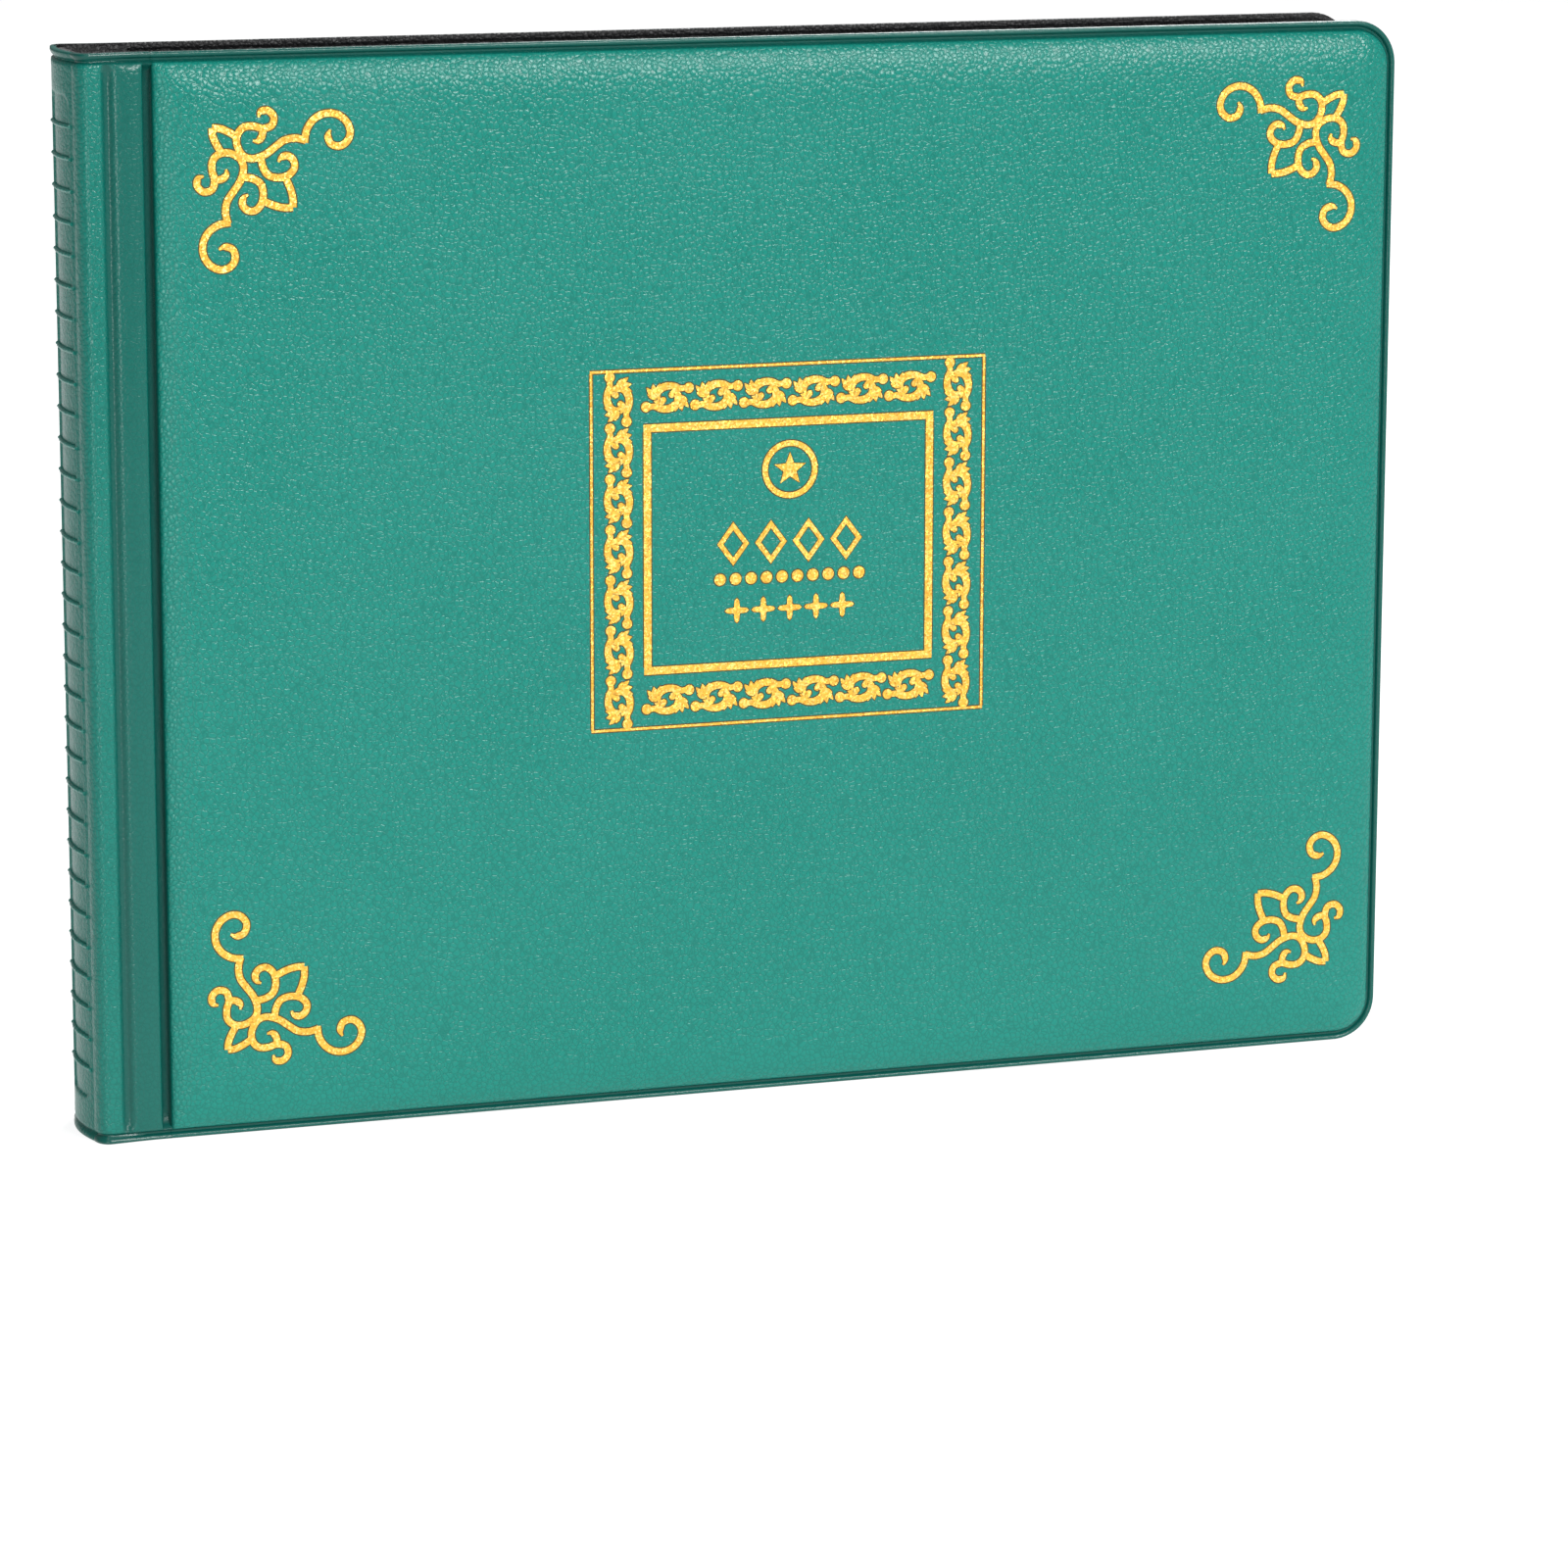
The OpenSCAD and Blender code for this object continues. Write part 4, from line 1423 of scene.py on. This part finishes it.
def ribbon(path, widths, closed=False):
    # left and right edge of a flat ribbon along a path
    left, right = [], []
    count = len(path)
    for i, (x, y) in enumerate(path):
        a = path[(i - 1) % count] if closed or i else path[0]
        b = path[(i + 1) % count] if closed or i < count - 1 else path[-1]
        along = Vector((b[0] - a[0], b[1] - a[1])).normalized()
        half = widths[i] / 2
        left.append((x - along.y * half, y + along.x * half))
        right.append((x + along.y * half, y - along.x * half))
    if closed:
        left, right = left + left[:1], right + right[:1]
    return left, right


def strokeWidths(path, width, taper, tip=0.3, reach=1.4):
    gone = [0.0]
    for a, b in zip(path, path[1:]):
        gone.append(gone[-1] + math.dist(a, b))
    widths = []
    for d in gone:
        ways = [way for way, thin in zip((d, gone[-1] - d), taper) if thin]
        widths.append(width * min((tip + (1 - tip) * ease(way / reach) for way in ways), default=1.0))
    return widths


def printLevel(x, z):
    # surface of the padded panel in mm from the outer plane, at x from the spine
    u = x - (panelX - spineX) / mm
    d = min((foreX - spineX) / mm - x, z, albumHeight / mm - z)
    return paddedHeight(u, d)


def laidOn(points, lift):
    # flat points laid on the padded panel
    return [aroundCorner(x, -printLevel(x, z) - lift, z, sideSigns["front"]) for x, z in points]


def laidFlat(points, lift):
    return [(x * mm, y * mm, lift * mm) for x, y in points]


def flatBand(edges, lift, thickness, place=laidOn):
    return gridShell(*([place(edge, level) for edge in edges] for level in (lift, lift - thickness)))


def fanPlate(points, lift, thickness, place=laidOn):
    # thin filled figure, a fan of faces from its middle on both sides
    count = len(points)
    ring = [tuple(middleOf(points))] + points
    faces = []
    for a in range(1, count + 1):
        b = a % count + 1
        c, d = count + 1 + a, count + 1 + b
        faces += [(0, a, b), (count + 1, d, c), (a, c, d, b)]
    return place(ring, lift) + place(ring, lift - thickness), faces


def middleOf(points):
    return Vector([sum(values) / len(points) for values in zip(*points)])


def swollen(points, extra):
    middle = middleOf(points)
    return [tuple(Vector(p) + (Vector(p) - middle).normalized() * extra) for p in points]


def aroundPoint(centre, radii):
    # points at even turns round a centre, from its top
    turn = 2 * math.pi / len(radii)
    return [(centre[0] + r * math.sin(turn * i), centre[1] + r * math.cos(turn * i))
            for i, r in enumerate(radii)]


def scaledFrom(centre, points, share):
    return [(centre[0] + (x - centre[0]) * share, centre[1] + (y - centre[1]) * share) for x, y in points]


goldParts, rimParts = [], []


def nextLift(c):
    return c["lift"] + c["liftStep"] * (len(goldParts) % c["liftSteps"])


def addFigure(make, gold, rim, lift, c):
    # a gold figure with a thin dark one under it
    goldParts.append(make(gold, lift, c["thickness"]))
    rimParts.append(make(rim, lift - c["rimDrop"], c["thickness"] - c["rimThinner"]))


def addBand(path, widths, c, closed=False):
    wide = [w + 2 * c["rimWidth"] for w in widths]
    addFigure(flatBand, ribbon(path, widths, closed), ribbon(path, wide, closed), nextLift(c), c)


def addCorners(c):
    for knotX, knotZ, towardX, towardZ in c["knots"]:
        for name, points in armStrokes.items():
            path = smoothPath(points)
            widths = strokeWidths(path, c["strokeWidth"], tapered.get(name, (0, 0)))
            for turned in (False, True):
                local = [(q, p) if turned else (p, q) for p, q in path]
                placed = [(knotX + towardX * p, knotZ + towardZ * q) for p, q in local]
                addBand(placed, widths, c)


def addFrameLine(low, high, width, c):
    # four straight bands with square corners
    (x0, z0), (x1, z1) = low, high
    h = width / 2
    for a, b in (((x0 - h, z0), (x1 + h, z0)), ((x0 - h, z1), (x1 + h, z1)),
                 ((x0, z0 + h), (x0, z1 - h)), ((x1, z0 + h), (x1, z1 - h))):
        addBand([a, b], [width, width], c)


def addFilled(points, c):
    addFigure(fanPlate, points, swollen(points, c["rimWidth"]), nextLift(c), c)


def addDiamond(centre, size, c):
    (x, z), (w, h) = centre, size
    path = [(x, z + h / 2), (x + w / 2, z), (x, z - h / 2), (x - w / 2, z), (x, z + h / 2)]
    shares = ((1.0, c["diamondLine"]), c["diamondRim"])
    gold, rim = ([scaledFrom(centre, path, share) for share in pair] for pair in shares)
    addFigure(flatBand, gold, rim, c["lift"], c)


def crossRadii(size, count=32):
    # a four-pointed figure: wide at each quarter turn and narrow between
    return [size / 2 * (0.36 + 0.64 * abs(math.cos(4 * math.pi * k / count)) ** 3) for k in range(count)]


def addTitle(c):
    low, high = c["frameLow"], c["frameHigh"]
    addFrameLine(low, high, c["thinLine"], c)
    inset = c["innerInset"] + c["innerLine"] / 2
    addFrameLine((low[0] + inset, low[1] + inset), (high[0] - inset, high[1] - inset), c["innerLine"], c)
    centre = c["ringCentre"]
    ring = aroundPoint(centre, [c["ringRadius"] - c["ringWidth"] / 2] * 48)
    addBand(ring, [c["ringWidth"]] * len(ring), c, closed=True)
    addFilled(aroundPoint(centre, c["starRadii"] * 5), c)
    # three plain rows stand where a title would be
    for row in titleRows:
        size = row["size"]
        for i in range(row["count"]):
            place = (centre[0] + (i - (row["count"] - 1) / 2) * row["pitch"], row["height"])
            if row["figure"] == "diamond":
                addDiamond(place, size, c)
            elif row["figure"] == "dot":
                addFilled(aroundPoint(place, [size / 2] * 20), c)
            else:
                addFilled(aroundPoint(place, crossRadii(size)), c)


# one unit of the scroll border holds everything twice: as drawn and turned half round
scrollUnit = {
    "stem": [(-3.7, -1.7), (-2.4, -1.4), (-1.1, -1.85), (0.4, -1.85), (1.6, -1.15), (1.9, 0.0),
             (1.35, 0.8), (0.7, 0.55)],
    "stemWidths": (0.8, 1.1, 1.3, 1.25, 0.9),
    "balls": [((-3.75, -1.45), 0.86), ((0.75, 0.4), 0.5)],
    "leaves": [((-2.3, 1.0), 100, 2.7, 1.1), ((-3.0, 0.95), 128, 2.1, 0.8), ((-1.6, 1.4), 74, 2.1, 0.9),
               ((-2.7, 0.2), 152, 1.8, 0.75)],
    "inset": 4.7,
    "along": 6,
    "upwards": 7,
    "thickness": 0.04,
    "stemThickness": 0.03,
}


def leafFigure(centre, angle, length, width, count=8):
    a = math.radians(angle)
    points = []
    for i in range(count * 2):
        t = i / count
        u = 1 - 2 * t if t <= 1 else 2 * t - 3
        v = (1 - u * u) * (1 if t <= 1 else -1)
        x, y = u * length / 2, v * width / 2
        points.append((centre[0] + x * math.cos(a) - y * math.sin(a),
                       centre[1] + x * math.sin(a) + y * math.cos(a)))
    return points


def unitMesh(name, c, look, rim):
    # flat scroll unit in its own plane; its rim is the same a little larger and lower
    extra, drop = (look["rimWidth"], look["rimDrop"]) if rim else (0.0, 0.0)
    path = smoothPath(c["stem"], 4)
    stops = list(enumerate(c["stemWidths"]))
    last = len(stops) - 1
    widths = [profileAt(stops, i * last / (len(path) - 1)) + 2 * extra for i in range(len(path))]
    parts = []
    for half in (1, -1):
        lift = look["lift"] + (0.004 if half > 0 else 0.0) - drop
        edges = ribbon([(x * half, y * half) for x, y in path], widths)
        parts.append(flatBand(edges, lift, c["stemThickness"], laidFlat))
        for k, ((x, y), radius) in enumerate(c["balls"]):
            disc = aroundPoint((x * half, y * half), [radius + extra] * 16)
            parts.append(fanPlate(disc, lift + 0.008 + 0.003 * k, c["thickness"], laidFlat))
        for k, ((x, y), angle, length, width) in enumerate(c["leaves"]):
            figure = swollen(leafFigure((x * half, y * half), angle, length, width), extra)
            parts.append(fanPlate(figure, lift + 0.012 + 0.004 * k, c["thickness"], laidFlat))
    return addMesh(name, *joinParts(parts), foilRim if rim else foil)


def addBorder(c, look):
    low, high = look["frameLow"], look["frameHigh"]
    x0, x1 = low[0] + c["inset"], high[0] - c["inset"]
    z0, z1 = low[1] + c["inset"], high[1] - c["inset"]
    xs = spread(x0, x1, c["along"] + 1)[1:-1]
    zs = spread(z0, z1, c["upwards"] - 1)
    places = [(x, z) for z in (z1, z0) for x in xs] + [(x, z) for x in (x0, x1) for z in zs]
    turns = [0.0] * (2 * len(xs)) + [math.radians(90)] * (2 * len(zs))
    for rim, name in ((False, "scrollBorder"), (True, "scrollBorderRim")):
        single = unitMesh(name + "Single", c, look, rim)
        start = startPoints(name + "Places", [(x * mm, z * mm, 0) for x, z in places])
        setValues(start, "turn", turns)
        batch = copiesOf(single, name, start, foilRim if rim else foil, turned=True)
        points = []
        for v in batch.data.vertices:
            x, z, lift = v.co / mm
            points += laidOn([(x, z)], lift)
        (rimParts if rim else goldParts).append((points, [tuple(p.vertices) for p in batch.data.polygons]))
        bpy.data.objects.remove(batch)
        bpy.data.objects.remove(single)


def addPrints():
    addCorners(printShape)
    cornerGold, cornerRim = joinParts(goldParts), joinParts(rimParts)
    goldParts.clear()
    rimParts.clear()
    addTitle(printShape)
    addBorder(scrollUnit, printShape)
    for name, shape, finish, nodes in (
        ("cornerGold", cornerGold, foil, ("front_corner_print",)),
        ("cornerGoldEdge", cornerRim, foilRim, ()),
        ("titleGold", joinParts(goldParts), foil, ("front_title_print",)),
        ("titleGoldEdge", joinParts(rimParts), foilRim, ()),
    ):
        addPiece(name, shape, finish, "front_cover", "gold_print", *nodes, smooth=False)


addPrints()
print("gold print made")


def coatNodes():
    # the frame parts that show as they are get a finish
    finishes = {"backing": sheetBlack, "binding": blackVinylPlain, "board": boardGrey}
    for piece in scene.objects:
        kind = piece.name.split("_")[-1]
        if piece.type == "MESH" and piece.name in frame["nodes"] and kind in finishes:
            for slot in piece.material_slots:
                slot.material = finishes[kind]


def addFloor(c):
    r = c["floorReach"]
    corners = [(-r, -r, 0), (r, -r, 0), (r, r, 0), (-r, r, 0)]
    floor = addMesh("studioFloor", corners, [(0, 1, 2, 3)], paleFloor(c))


coatNodes()
addFloor(lightSetup)


print("scene complete")
